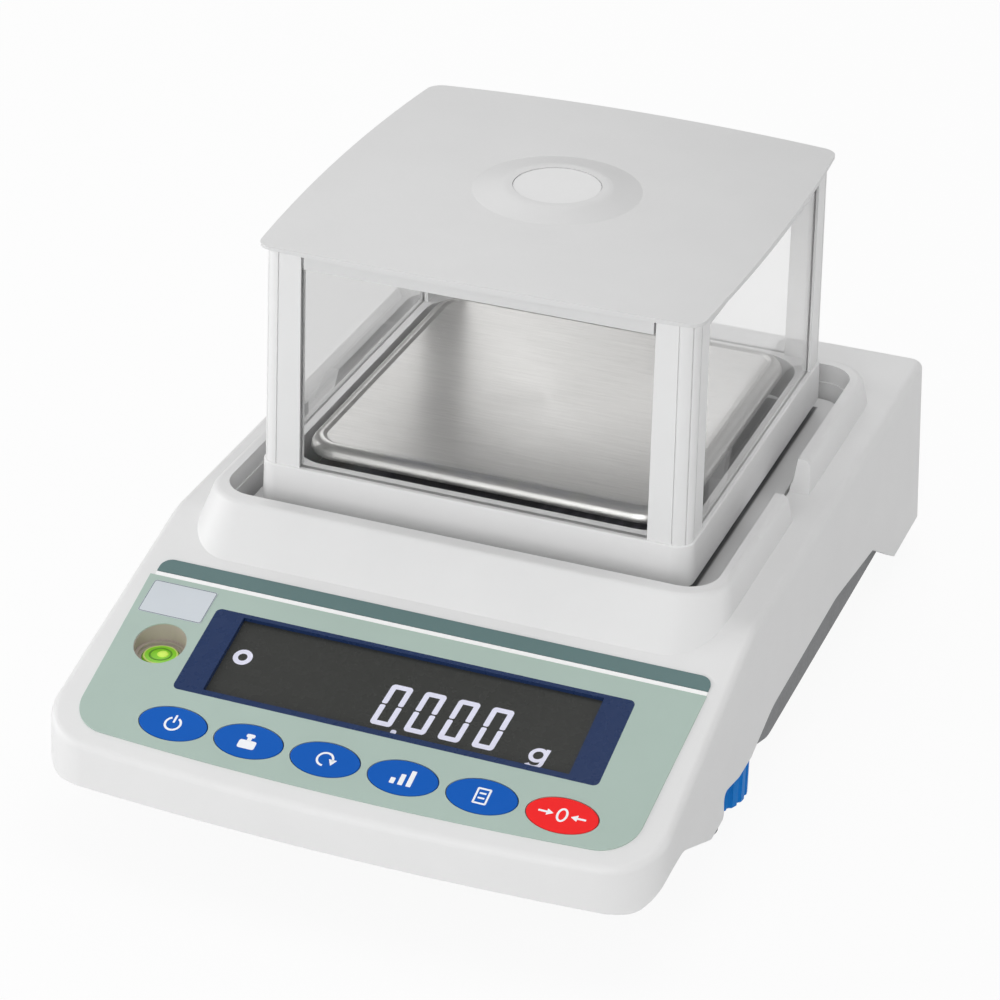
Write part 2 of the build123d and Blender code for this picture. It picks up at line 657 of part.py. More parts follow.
with BuildPart() as key_board:
    add(slab(panel(-KEY_BOARD_DEPTH), (-77.6, 83.9), (-68.4, -52.2), -BOARD_THICK, 1.5))
key_board.part.label = "key_board"
export_step(key_board.part, "parts/key_board.step")

with BuildPart() as key_domes:
    with BuildSketch(panel(-KEY_BOARD_DEPTH)):
        with Locations([(x, -KEY_T) for x in KEY_X]):
            Circle(4.2)
    extrude(amount=0.6, taper=35)
key_domes.part.label = "key_domes"
export_step(key_domes.part, "parts/key_domes.step")

for x, name in zip(KEY_X, KEY_NAMES):
    with BuildPart() as key:
        # flange that holds the key behind the panel, then the cap
        with BuildSketch(panel(-CASE_WALL - 0.9)):
            with Locations((x, -KEY_T)):
                key_outline(1.2)
        extrude(amount=0.8)
        with BuildSketch(panel(-CASE_WALL - 0.5)):
            with Locations((x, -KEY_T)):
                key_outline()
        extrude(amount=CASE_WALL + 0.5 + SHEET + KEY_STAND)
        fillet(key.faces().sort_by(Axis((0, 0, 0), panel().z_dir))[-1].edges(), 0.3)
    key.part.label = f"key_{name}"
    export_step(key.part, f"parts/key_{name}.step")

with BuildPart() as level_sleeve:
    with BuildSketch(Plane((LEVEL_X, LEVEL_Y, VIAL_TOP_Z - 8))):
        Circle(LEVEL_SLEEVE_R)
    extrude(amount=20)
    split(bisect_by=panel(), keep=Keep.BOTTOM)
    # seat of the vial, then two steps up to the panel
    for radius, low in ((VIAL_R + 0.05, -6.5), (LEVEL_STEP_R, -0.7), (LEVEL_BORE_R, 0.3)):
        with BuildSketch(Plane((LEVEL_X, LEVEL_Y, VIAL_TOP_Z + low))):
            Circle(radius)
        extrude(amount=20, mode=Mode.SUBTRACT)
level_sleeve.part.label = "level_sleeve"
export_step(level_sleeve.part, "parts/level_sleeve.step")

with BuildPart() as level_vial:
    with BuildSketch(Plane((LEVEL_X, LEVEL_Y, VIAL_TOP_Z - 6.5))):
        Circle(VIAL_R)
    extrude(amount=6.5)
    fillet(level_vial.edges().group_by(Axis.Z)[-1], 1.4)
level_vial.part.label = "level_vial"
export_step(level_vial.part, "parts/level_vial.step")


# Weighing pan, its support and the dust plate

with BuildPart() as pan_inside:
    with BuildSketch(level(PAN_SKIRT_Z, PAN_Y)):
        inner_width = 2 * (PAN_HALF - PAN_SHEET)
        RectangleRounded(inner_width, inner_width, PAN_CORNER_R - PAN_SHEET)
    extrude(amount=PAN_UNDER_Z - PAN_SKIRT_Z)
    fillet(pan_inside.faces().sort_by(Axis.Z)[-1].edges(), PAN_ROLL_R - 1)

with BuildPart() as weighing_pan:
    with BuildSketch(level(PAN_SKIRT_Z, PAN_Y)):
        RectangleRounded(2 * PAN_HALF, 2 * PAN_HALF, PAN_CORNER_R)
    extrude(amount=PAN_RIM_Z - PAN_SKIRT_Z)
    fillet(weighing_pan.faces().sort_by(Axis.Z)[-1].edges(), PAN_ROLL_R)
    with BuildSketch(level(PAN_RIM_Z, PAN_Y)):
        dish_width = 2 * (PAN_HALF - PAN_ROLL_R)
        RectangleRounded(dish_width, dish_width, PAN_CORNER_R - PAN_ROLL_R)
    extrude(amount=-PAN_DISH, taper=65, mode=Mode.SUBTRACT)
    add(pan_inside.part, mode=Mode.SUBTRACT)
weighing_pan.part.label = "weighing_pan"
export_step(weighing_pan.part, "parts/weighing_pan.step")

with BuildPart() as pan_support:
    with BuildSketch(level(HUB_LOW_Z, PAN_Y)):
        Circle(9)
    extrude(amount=SUPPORT_PLATE_Z - HUB_LOW_Z)
    with BuildSketch(level(SUPPORT_PLATE_Z, PAN_Y)):
        SlotCenterToCenter(2 * SUPPORT_ARM, 17, rotation=45)
        SlotCenterToCenter(2 * SUPPORT_ARM, 17, rotation=-45)
        Circle(20)
        with PolarLocations(SUPPORT_ARM * 0.62, 4, start_angle=45):
            Circle(4.5, mode=Mode.SUBTRACT)
    extrude(amount=2)
    with BuildSketch(level(HUB_LOW_Z, PAN_Y)):
        Circle(TAPER_R + 0.05)
    extrude(amount=TAPER_TOP_Z + 0.2 - HUB_LOW_Z, mode=Mode.SUBTRACT)
pan_support.part.label = "pan_support"
export_step(pan_support.part, "parts/pan_support.step")

with BuildPart() as pan_cushions:
    with BuildSketch(level(SUPPORT_PLATE_Z + 2, PAN_Y)):
        with PolarLocations(SUPPORT_ARM, 4, start_angle=45):
            Circle(6)
    extrude(amount=PAN_UNDER_Z - SUPPORT_PLATE_Z - 2)
pan_cushions.part.label = "pan_cushions"
export_step(pan_cushions.part, "parts/pan_cushions.step")

with BuildPart() as dust_plate:
    with BuildSketch(level(WELL_FLOOR_Z, PAN_Y)):
        plate_x = 2 * (WELL_HALF_X - WELL_CHANNEL)
        plate_y = 2 * (WELL_HALF_Y - WELL_CHANNEL)
        RectangleRounded(plate_x, plate_y, WELL_CORNER_R - WELL_CHANNEL)
    extrude(amount=DUST_TOP_Z - WELL_FLOOR_Z)
    fillet(dust_plate.faces().sort_by(Axis.Z)[-1].edges(), 0.5)
    with BuildSketch(level(WELL_FLOOR_Z, PAN_Y)):
        Circle(WELL_HOLE_R + 4.5)
    extrude(amount=3.6)
    with BuildSketch(level(WELL_FLOOR_Z, PAN_Y)):
        Circle(WELL_HOLE_R + 3)
    extrude(amount=5, mode=Mode.SUBTRACT)
dust_plate.part.label = "dust_plate"
export_step(dust_plate.part, "parts/dust_plate.step")


# Draft shield: ring, four panes, four posts and the lid


def shield_plane(z, quarter):
    """Plane at the shield's centre, turned by quarter turns."""
    turn = radians(90 * quarter)
    return Plane((0, PAN_Y, z), x_dir=(cos(turn), sin(turn), 0), z_dir=(0, 0, 1))


def lean(z):
    """How far the shield's sides have come in at one height."""
    return POST_LEAN * (z - RING_TOP_Z) / (POST_TOP_Z - RING_TOP_Z)


def pane(quarter):
    """Clear pane that leans in with the posts."""
    with BuildPart() as sheet_part:
        for z in (RING_TOP_Z, PANE_TOP_Z):
            with BuildSketch(shield_plane(z, quarter)):
                half = POST_HALF - POST_FACE + PANE_IN_POST - lean(z) / 2
                with Locations((0, -PANE_FACE_HALF + lean(z) + PANE_THICK / 2)):
                    Rectangle(2 * half, PANE_THICK)
        loft(ruled=True)
    return sheet_part.part


def post_section(z, quarter):
    """Angle section of one post, with fine grooves over and beside its round corner."""
    h = POST_HALF - lean(z)
    end = POST_HALF - POST_FACE - lean(z) / 2
    near = h - POST_CORNER_R - 0.3
    with BuildSketch(shield_plane(z, quarter)) as section:
        with BuildLine():
            Polyline(
                (-h, -h),
                (-near, -h),
                (-near, -h + POST_GROOVE),
                (-near + POST_GROOVE, -h + POST_GROOVE),
                (-near + POST_GROOVE, -h),
                (-end, -h),
                (-end, -h + POST_LEG),
                (-h + POST_LEG, -h + POST_LEG),
                (-h + POST_LEG, -end),
                (-h, -end),
                (-h, -near + POST_GROOVE),
                (-h + POST_GROOVE, -near + POST_GROOVE),
                (-h + POST_GROOVE, -near),
                (-h, -near),
                close=True,
            )
        make_face()
        fillet(section.vertices().sort_by(lambda v: v.X + v.Y)[0], POST_CORNER_R)
        corner_mid = -h + POST_CORNER_R * (1 - cos(radians(45)))
        with Locations((corner_mid, corner_mid)):
            Rectangle(2 * POST_GROOVE, POST_GROOVE, rotation=45, mode=Mode.SUBTRACT)
    return section.sketch


with BuildPart() as shield_ring:
    with BuildSketch(level(RING_BOTTOM_Z, PAN_Y)):
        RectangleRounded(2 * RING_HALF, 2 * RING_HALF, RING_CORNER_R)
    extrude(amount=RING_BELLY_Z - RING_BOTTOM_Z)
    fillet(shield_ring.faces().sort_by(Axis.Z)[0].edges(), RING_UNDER_R)
    with BuildSketch(level(RING_BELLY_Z, PAN_Y)):
        RectangleRounded(2 * RING_HALF, 2 * RING_HALF, RING_CORNER_R)
    rise = RING_TOP_Z - RING_BELLY_Z
    extrude(amount=rise, taper=degrees(atan((RING_HALF - RING_TOP_HALF) / rise)))
    fillet(shield_ring.faces().sort_by(Axis.Z)[-1].edges(), 0.6)
    with BuildSketch(level(RING_BOTTOM_Z - 5, PAN_Y)):
        RectangleRounded(2 * RING_OPENING_HALF, 2 * RING_OPENING_HALF, RING_OPENING_R)
    extrude(amount=40, mode=Mode.SUBTRACT)
    # small feet that stand on the dust plate
    with BuildSketch(level(DUST_TOP_Z, PAN_Y)):
        with PolarLocations(RING_FOOT_REACH, 4, start_angle=45):
            Circle(2.6)
    extrude(amount=8)
shield_ring.part.label = "shield_ring"
export_step(shield_ring.part, "parts/shield_ring.step")

for quarter, name in enumerate(("front", "right", "rear", "left")):
    with BuildPart() as shield_pane:
        add(pane(quarter))
    shield_pane.part.label = f"shield_pane_{name}"
    export_step(shield_pane.part, f"parts/shield_pane_{name}.step")

for quarter, name in enumerate(("front_left", "front_right", "rear_right", "rear_left")):
    with BuildPart() as shield_post:
        loft(sections=[post_section(z, quarter).face() for z in (RING_TOP_Z, POST_TOP_Z)], ruled=True)
        add(pane(quarter), mode=Mode.SUBTRACT)
        add(pane(quarter + 3), mode=Mode.SUBTRACT)
    shield_post.part.label = f"shield_post_{name}"
    export_step(shield_post.part, f"parts/shield_post_{name}.step")

with BuildPart() as shield_lid:
    with BuildSketch(level(POST_TOP_Z, PAN_Y)) as bowed_square:
        with BuildLine():
            corners = [(-1, -1), (1, -1), (1, 1), (-1, 1), (-1, -1)]
            for (x0, y0), (x1, y1) in zip(corners, corners[1:]):
                ThreePointArc(
                    (x0 * LID_HALF_CORNER, y0 * LID_HALF_CORNER),
                    ((x0 + x1) / 2 * LID_HALF_MIDDLE, (y0 + y1) / 2 * LID_HALF_MIDDLE),
                    (x1 * LID_HALF_CORNER, y1 * LID_HALF_CORNER),
                )
        make_face()
        fillet(bowed_square.vertices(), LID_CORNER_R)
    extrude(amount=8)
    # crowned top
    with Locations((0, PAN_Y, LID_CROWN_Z - LID_CROWN_R)):
        Sphere(LID_CROWN_R, mode=Mode.INTERSECT)
    # low boss in the middle, with a seat for the disc
    with BuildSketch(Plane((0, PAN_Y, 0), x_dir=(1, 0, 0), z_dir=(0, -1, 0))):
        with BuildLine():
            Polyline(
                (0, POST_TOP_Z),
                (BOSS_R, POST_TOP_Z),
                (BOSS_R, LID_CROWN_Z - 0.25),
                (DISC_R + 4, BOSS_TOP_Z - 0.15),
            )
            ThreePointArc(
                (DISC_R + 4, BOSS_TOP_Z - 0.15),
                (DISC_R + 2.5, BOSS_TOP_Z),
                (DISC_R + 1, BOSS_TOP_Z),
            )
            Polyline((DISC_R + 1, BOSS_TOP_Z), (0, BOSS_TOP_Z), (0, POST_TOP_Z))
        make_face()
    revolve(axis=Axis((0, PAN_Y, 0), (0, 0, 1)))
    with BuildSketch(level(DISC_LOW_Z, PAN_Y)):
        Circle(DISC_R)
    extrude(amount=5, mode=Mode.SUBTRACT)
    # rails that drop between the posts
    for quarter in range(4):
        with BuildSketch(shield_plane(RAIL_Z, quarter)):
            with Locations((0, -RAIL_FACE_HALF + RAIL_THICK / 2)):
                Rectangle(2 * RAIL_HALF_LENGTH, RAIL_THICK)
        extrude(amount=POST_TOP_Z + 0.5 - RAIL_Z)
shield_lid.part.label = "shield_lid"
export_step(shield_lid.part, "parts/shield_lid.step")

with BuildPart() as lid_disc:
    with BuildSketch(level(DISC_LOW_Z, PAN_Y)):
        Circle(DISC_R - 0.1)
    extrude(amount=BOSS_TOP_Z - 0.2 - DISC_LOW_Z)
    fillet(lid_disc.edges().group_by(Axis.Z)[-1], 0.3)
lid_disc.part.label = "lid_disc"
export_step(lid_disc.part, "parts/lid_disc.step")


# Force sensor: frame on the tray, carrier on two flexing guides, lever, coil and magnet

with BuildPart() as sensor_frame:
    with BuildSketch(level(TRAY_FLOOR_Z + TRAY_WALL, (SENSOR_SCREWS[0][1] + SENSOR_SCREWS[-1][1]) / 2)):
        RectangleRounded(2 * BRACKET_HALF, SENSOR_SCREWS[-1][1] - SENSOR_SCREWS[0][1] + 12, 6)
    extrude(amount=BRACKET_TOP_Z - TRAY_FLOOR_Z - TRAY_WALL)
    # upright with a toe for the lower guide
    with BuildSketch(level(BRACKET_TOP_Z, (UPRIGHT_Y[0] + UPRIGHT_Y[1]) / 2)):
        Rectangle(2 * SENSOR_HALF, UPRIGHT_Y[1] - UPRIGHT_Y[0])
    extrude(amount=GUIDE_HIGH_Z - BRACKET_TOP_Z)
    with BuildSketch(level(BRACKET_TOP_Z, UPRIGHT_Y[0] - 1)):
        Rectangle(2 * SENSOR_HALF, 2)
    extrude(amount=GUIDE_LOW_Z - BRACKET_TOP_Z)
    # window for the lever, pivot hole, side pockets
    with BuildSketch(Plane.XZ.offset(-UPRIGHT_Y[1] - 1)):
        with Locations((0, LEVER_Z)):
            Rectangle(14, 12)
    extrude(amount=UPRIGHT_Y[1] - UPRIGHT_Y[0] + 2, mode=Mode.SUBTRACT)
    with BuildSketch(Plane.YZ):
        with Locations((LEVER_PIVOT_Y, LEVER_Z)):
            Circle(PIVOT_R + 0.02)
    extrude(amount=SENSOR_HALF - 4, both=True, mode=Mode.SUBTRACT)
    for side in (1, -1):
        with BuildSketch(Plane.YZ.offset(side * SENSOR_HALF)):
            with Locations(((UPRIGHT_Y[0] + UPRIGHT_Y[1]) / 2 + 1, 30)):
                RectangleRounded(12, 16, 2.5)
        extrude(amount=-side * 7, mode=Mode.SUBTRACT)
    with BuildSketch(level(TRAY_FLOOR_Z)):
        with Locations((0, PAN_Y)):
            Circle(9)
        with Locations(*SENSOR_SCREWS):
            Circle(INNER_SCREW_R + 0.1)
    extrude(amount=BRACKET_TOP_Z - TRAY_FLOOR_Z, mode=Mode.SUBTRACT)
sensor_frame.part.label = "sensor_frame"
export_step(sensor_frame.part, "parts/sensor_frame.step")

with BuildPart() as load_carrier:
    with BuildSketch(level(CARRIER_LOW_Z, (CARRIER_Y[0] + CARRIER_Y[1]) / 2)):
        Rectangle(2 * SENSOR_HALF, CARRIER_Y[1] - CARRIER_Y[0])
    extrude(amount=GUIDE_HIGH_Z - CARRIER_LOW_Z)
    with BuildSketch(level(CARRIER_LOW_Z, CARRIER_Y[1] + 1)):
        Rectangle(2 * SENSOR_HALF, 2)
    extrude(amount=GUIDE_LOW_Z - CARRIER_LOW_Z)
    # arm for the coupling strip
    with BuildSketch(level(ARM_Z, (CARRIER_Y[1] + LEVER_LINK_Y - 0.2) / 2)):
        Rectangle(8, LEVER_LINK_Y - 0.2 - CARRIER_Y[1])
    extrude(amount=4)
    with BuildSketch(Plane.YZ):
        with Locations((PAN_Y, 40)):
            Circle(8)
    extrude(amount=SENSOR_HALF + 1, both=True, mode=Mode.SUBTRACT)
load_carrier.part.label = "load_carrier"
export_step(load_carrier.part, "parts/load_carrier.step")

with BuildPart() as guide_sheets:
    with BuildSketch(level(GUIDE_HIGH_Z, (CARRIER_Y[1] - 3 + UPRIGHT_Y[1]) / 2)):
        Rectangle(2 * SENSOR_HALF, UPRIGHT_Y[1] - CARRIER_Y[1] + 3)
        with Locations((0, -8.5)):
            RectangleRounded(20, 9, 2, mode=Mode.SUBTRACT)
    extrude(amount=GUIDE_SHEET)
    with BuildSketch(level(GUIDE_LOW_Z, (CARRIER_Y[1] + UPRIGHT_Y[0]) / 2)):
        Rectangle(2 * SENSOR_HALF, UPRIGHT_Y[0] - CARRIER_Y[1])
        RectangleRounded(20, 9, 2, mode=Mode.SUBTRACT)
    extrude(amount=GUIDE_SHEET)
guide_sheets.part.label = "guide_sheets"
export_step(guide_sheets.part, "parts/guide_sheets.step")

with BuildPart() as coupling_strip:
    with BuildSketch(level(ARM_Z, LEVER_LINK_Y)):
        Rectangle(6, 0.4)
    extrude(amount=LEVER_Z - 2.5 - ARM_Z)
coupling_strip.part.label = "coupling_strip"
export_step(coupling_strip.part, "parts/coupling_strip.step")

with BuildPart() as balance_lever:
    with BuildSketch(level(LEVER_Z - 2.5)):
        with Locations((0, (LEVER_LINK_Y - 2 + COIL_Y) / 2)):
            Rectangle(8, COIL_Y - LEVER_LINK_Y + 2)
    extrude(amount=5)
    with BuildSketch(level(LEVER_Z - 4.5, COIL_Y)):
        Circle(COIL_R)
    extrude(amount=3)
    with BuildSketch(Plane.YZ):
        with Locations((LEVER_PIVOT_Y, LEVER_Z)):
            Circle(PIVOT_R + 0.05)
    extrude(amount=10, both=True, mode=Mode.SUBTRACT)
balance_lever.part.label = "balance_lever"
export_step(balance_lever.part, "parts/balance_lever.step")

with BuildPart() as lever_pivot:
    with BuildSketch(Plane.YZ.offset(-SENSOR_HALF + 4)):
        with Locations((LEVER_PIVOT_Y, LEVER_Z)):
            Circle(PIVOT_R)
    extrude(amount=2 * SENSOR_HALF - 8)
lever_pivot.part.label = "lever_pivot"
export_step(lever_pivot.part, "parts/lever_pivot.step")

with BuildPart() as coil:
    with BuildSketch(level(POT_FLOOR_Z + 4, COIL_Y)):
        Circle(COIL_R)
        Circle(COIL_R - 2, mode=Mode.SUBTRACT)
    extrude(amount=LEVER_Z - 4.5 - POT_FLOOR_Z - 4)
coil.part.label = "coil"
export_step(coil.part, "parts/coil.step")

with BuildPart() as magnet_pot:
    with BuildSketch(level(BRACKET_TOP_Z, COIL_Y)):
        Circle(COIL_R + 7.5)
    extrude(amount=POT_TOP_Z - BRACKET_TOP_Z)
    chamfer(magnet_pot.faces().sort_by(Axis.Z)[-1].edges(), 1)
    with BuildSketch(level(POT_FLOOR_Z, COIL_Y)):
        Circle(COIL_R + 1.8)
        Circle(COIL_R - 3.4, mode=Mode.SUBTRACT)
    extrude(amount=POT_TOP_Z - POT_FLOOR_Z, mode=Mode.SUBTRACT)
magnet_pot.part.label = "magnet_pot"
export_step(magnet_pot.part, "parts/magnet_pot.step")

with BuildPart() as receiver_post:
    with BuildSketch(Plane((0, PAN_Y, 0), x_dir=(1, 0, 0), z_dir=(0, -1, 0))):
        with BuildLine():
            Polyline(
                (0, GUIDE_HIGH_Z),
                (9, GUIDE_HIGH_Z),
                (9, GUIDE_HIGH_Z + 2.5),
                (7, GUIDE_HIGH_Z + 4.0),
                (7, HUB_LOW_Z),
                (TAPER_R, HUB_LOW_Z),
                (TAPER_R, TAPER_TOP_Z - 1),
                (TAPER_R - 1, TAPER_TOP_Z),
                (0, TAPER_TOP_Z),
                close=True,
            )
        make_face()
    revolve(axis=Axis((0, PAN_Y, 0), (0, 0, 1)))
receiver_post.part.label = "receiver_post"
export_step(receiver_post.part, "parts/receiver_post.step")


# Electronics

with BuildPart() as main_board:
    add(slab(level(BOARD_Z), BOARD_X, BOARD_Y, BOARD_THICK, 2))
    with BuildSketch(level(BOARD_Z)):
        with Locations(*BOARD_POSTS):
            Circle(INNER_SCREW_R + 0.2)
    extrude(amount=BOARD_THICK, mode=Mode.SUBTRACT)
main_board.part.label = "main_board"
export_step(main_board.part, "parts/main_board.step")

with BuildPart() as board_parts:
    board_top = BOARD_Z + BOARD_THICK
    # processor, converter and memory
    chips = ((-64, 40, 16, 16, 2.2), (-56, 70, 12, 18, 2.6), (-78, 66, 8, 12, 2.0))
    for x, y, width, depth, height in chips:
        with BuildSketch(Plane((x, y, board_top))):
            Rectangle(width, depth)
        extrude(amount=height)
    # capacitors and the buzzer
    cans = ((-80, 92, 5, 12), (-80, 104, 4, 10), (-56, 104, 6.5, 7))
    for x, y, radius, height in cans:
        with BuildSketch(Plane((x, y, board_top))):
            Circle(radius)
        extrude(amount=height)
board_parts.part.label = "board_parts"
export_step(board_parts.part, "parts/board_parts.step")

with BuildPart() as display_ribbon:
    with BuildSketch(Plane.YZ.offset(-68)):
        with BuildLine() as ribbon_path:
            FilletPolyline(
                (-84.0, 54.6),
                (-84.0, 48.0),
                (-30.0, 46.5),
                (14.0, 46.5),
                (14.0, BOARD_Z + BOARD_THICK),
                radius=[3, 20, 5],
            )
        trace(line_width=0.5)
    extrude(amount=18)
display_ribbon.part.label = "display_ribbon"
export_step(display_ribbon.part, "parts/display_ribbon.step")


# Rear connectors


def rear_plane(name, y):
    """Plane that faces the rear at one y, on the axis of one connector."""
    return Plane((SOCKET_X[name], y, SOCKET_Z), x_dir=(1, 0, 0), z_dir=(0, 1, 0))


with BuildPart() as rear_panel:
    with BuildSketch(Plane.XZ.offset(-REAR_PANEL_Y)):
        with Locations(((REAR_WINDOW_X[0] + REAR_WINDOW_X[1]) / 2, SOCKET_Z)):
            Rectangle(REAR_WINDOW_X[1] - REAR_WINDOW_X[0] + 3, REAR_WINDOW_H + 3)
        with Locations((SOCKET_X["power"], SOCKET_Z)):
            Circle(4.1, mode=Mode.SUBTRACT)
        with Locations((SOCKET_X["serial"], SOCKET_Z)):
            Rectangle(18, 9.6, mode=Mode.SUBTRACT)
        with Locations((SOCKET_X["usb"], SOCKET_Z)):
            Rectangle(12, 11, mode=Mode.SUBTRACT)
        with Locations((SOCKET_X["earth"], SOCKET_Z)):
            Circle(2.1, mode=Mode.SUBTRACT)
    extrude(amount=REAR_PANEL_THICK)
rear_panel.part.label = "rear_panel"
export_step(rear_panel.part, "parts/rear_panel.step")

with BuildPart() as power_inlet:
    with BuildSketch(rear_plane("power", SOCKET_BODY_Y)):
        Rectangle(10, 12)
    extrude(amount=REAR_PANEL_Y - REAR_PANEL_THICK - SOCKET_BODY_Y)
    with BuildSketch(rear_plane("power", SOCKET_NECK_Y)):
        Circle(4)
    extrude(amount=REAR_Y - SOCKET_NECK_Y)
    with BuildSketch(rear_plane("power", REAR_Y)):
        Circle(2.9)
        Circle(1.0, mode=Mode.SUBTRACT)
    extrude(amount=-10, mode=Mode.SUBTRACT)
power_inlet.part.label = "power_inlet"
export_step(power_inlet.part, "parts/power_inlet.step")

with BuildPart() as serial_socket:
    with BuildSketch(rear_plane("serial", SOCKET_BODY_Y)):
        Rectangle(20, 12)
    extrude(amount=REAR_PANEL_Y - REAR_PANEL_THICK - SOCKET_BODY_Y)
    with BuildSketch(rear_plane("serial", SOCKET_NECK_Y)):
        Rectangle(17.8, 9.4)
    extrude(amount=REAR_PANEL_Y - SOCKET_NECK_Y)
    with BuildSketch(rear_plane("serial", REAR_PANEL_Y)):
        Rectangle(31, 12.5)
    extrude(amount=0.9)
    with BuildSketch(rear_plane("serial", REAR_PANEL_Y)) as shell_face:
        Trapezoid(17, 8.4, 80)
        fillet(shell_face.vertices(), 2)
    extrude(amount=CONNECTOR_Y - REAR_PANEL_Y)
    # the insulator fills the shell to just below its edge
    with BuildSketch(rear_plane("serial", CONNECTOR_Y)) as shell_recess:
        Trapezoid(15.8, 7.2, 80)
        fillet(shell_recess.vertices(), 1.5)
    extrude(amount=-0.8, mode=Mode.SUBTRACT)
serial_socket.part.label = "serial_socket"
export_step(serial_socket.part, "parts/serial_socket.step")

with BuildPart() as usb_socket:
    with BuildSketch(rear_plane("usb", SOCKET_BODY_Y)):
        Rectangle(12, 11)
    extrude(amount=REAR_Y - 1 - SOCKET_BODY_Y)
    with BuildSketch(rear_plane("usb", REAR_Y - 1)) as port:
        Rectangle(8.6, 7.8)
        chamfer(port.vertices().group_by(Axis.Y)[-1], 1.5)
        Rectangle(5.6, 3, mode=Mode.SUBTRACT)
    extrude(amount=-9, mode=Mode.SUBTRACT)
usb_socket.part.label = "usb_socket"
export_step(usb_socket.part, "parts/usb_socket.step")

with BuildPart() as earth_terminal:
    with BuildSketch(rear_plane("earth", 147)):
        Circle(2)
    extrude(amount=CONNECTOR_Y - 147)
    with BuildSketch(rear_plane("earth", REAR_PANEL_Y)):
        RegularPolygon(4.6, 12)
    extrude(amount=4)
earth_terminal.part.label = "earth_terminal"
export_step(earth_terminal.part, "parts/earth_terminal.step")


# Screws and the cover over the underhook opening

with BuildPart() as case_screws:
    with BuildSketch(level(SCREW_SEAT_Z)):
        with Locations(*PILLAR_PLACES):
            Circle(SCREW_HEAD_R)
    extrude(amount=-2.2)
    with BuildSketch(level(SCREW_SEAT_Z)):
        with Locations(*PILLAR_PLACES):
            Circle(SCREW_R)
    extrude(amount=SCREW_TIP_Z - SCREW_SEAT_Z)
case_screws.part.label = "case_screws"
export_step(case_screws.part, "parts/case_screws.step")

with BuildPart() as inner_screws:
    seats = [(x, y, BOARD_Z + BOARD_THICK) for x, y in BOARD_POSTS]
    seats += [(x, y, BRACKET_TOP_Z) for x, y in SENSOR_SCREWS]
    for x, y, z in seats:
        with BuildSketch(Plane((x, y, z))):
            Circle(INNER_HEAD_R)
        extrude(amount=1.8)
        with BuildSketch(Plane((x, y, z))):
            Circle(INNER_SCREW_R)
        extrude(amount=-7.7)
inner_screws.part.label = "inner_screws"
export_step(inner_screws.part, "parts/inner_screws.step")

with BuildPart() as underhook_cover:
    with BuildSketch(level(TRAY_FLOOR_Z + 0.1, PAN_Y)):
        Circle(11.9)
    extrude(amount=1.1)
    with BuildSketch(level(TRAY_FLOOR_Z + 1.2, PAN_Y)):
        Circle(8.9)
    extrude(amount=1.8)
underhook_cover.part.label = "underhook_cover"
export_step(underhook_cover.part, "parts/underhook_cover.step")
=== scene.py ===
import json
from math import cos, pi, radians, sin

import bmesh
import bpy
from mathutils import Matrix, Vector


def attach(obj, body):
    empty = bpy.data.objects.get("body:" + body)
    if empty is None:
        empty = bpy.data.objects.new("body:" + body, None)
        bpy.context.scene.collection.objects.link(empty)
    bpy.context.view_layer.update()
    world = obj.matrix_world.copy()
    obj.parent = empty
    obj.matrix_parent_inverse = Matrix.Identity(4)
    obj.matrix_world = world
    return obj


bl_info = {
    "name": "Precision balance",
    "version": (1, 0, 0),
    "blender": (4, 5, 0),
    "location": "View3D > Sidebar > Balance",
    "description": "Dresses the packed model of a bench precision balance with a draft shield",
    "category": "Object",
}

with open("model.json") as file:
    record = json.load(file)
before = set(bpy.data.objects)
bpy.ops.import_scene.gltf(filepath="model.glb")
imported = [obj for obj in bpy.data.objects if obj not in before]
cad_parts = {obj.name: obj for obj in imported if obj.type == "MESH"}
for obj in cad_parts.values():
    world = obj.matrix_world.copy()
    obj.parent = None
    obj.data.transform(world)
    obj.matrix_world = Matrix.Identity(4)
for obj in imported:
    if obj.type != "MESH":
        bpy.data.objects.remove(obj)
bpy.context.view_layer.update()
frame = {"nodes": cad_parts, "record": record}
nodes = frame["nodes"]

MM = 0.001

# Control panel: a plane through this point that rises to the rear
PANEL_POINT = Vector((0, -81.9, 66.3)) * MM
PANEL_SLOPE = radians(16.8)

# Middle of the pan and the draft shield, and how far from it the painted shade on the dust plate, dark under
# the shield, fades to the plate's pale colour
PAN_Y = 32.5 * MM
PAINTED_SHADE_REACH = 74.6 * MM
PAINTED_SHADE_FADE_END = 75.4 * MM

# Faces on the panel, in millimetres above its plane, and the thickness of print on them
DISPLAY_FACE = -1.2
KEY_TOP = 0.55
LABEL_TOP = 0.55
PRINT = 0.04

# Places on the panel: across it, down it and, for the line, above it, in millimetres
LABEL_SPOT = (-81.95, 11.3)
HEADER_LINE_SPOT = (0.65, 1.0, 0.02)
POINT_SPOT = (6.6, 42.5)
RING_SPOT = (-52.1, 26.6)
UNIT_SPOT = (50.4, 41.3)

# Reading: right-hand digit's left edge and foot, gap between its halves, lean to the right
DIGIT_COUNT = 4
DIGIT_LAST_X = 31.9
DIGIT_LOW_T = 41.0
DIGIT_GAP = 0.55
DIGIT_LEAN = 0.075

# Keys, from the left: what each does, the first one's place and the distance to the next
KEY_NAMES = ("power", "calibrate", "mode", "sample", "print", "zero")
KEY_FIRST_X = -61.1
KEY_PITCH = 26.1
KEY_T = 60.2

# Bubble level and rear sockets, in millimetres
LEVEL = (-79.8, -110.43, 53.8)
SOCKET_Z = 31.6
SERIAL_X = -51.0
POWER_X = -76.0
USB_X = -25.0

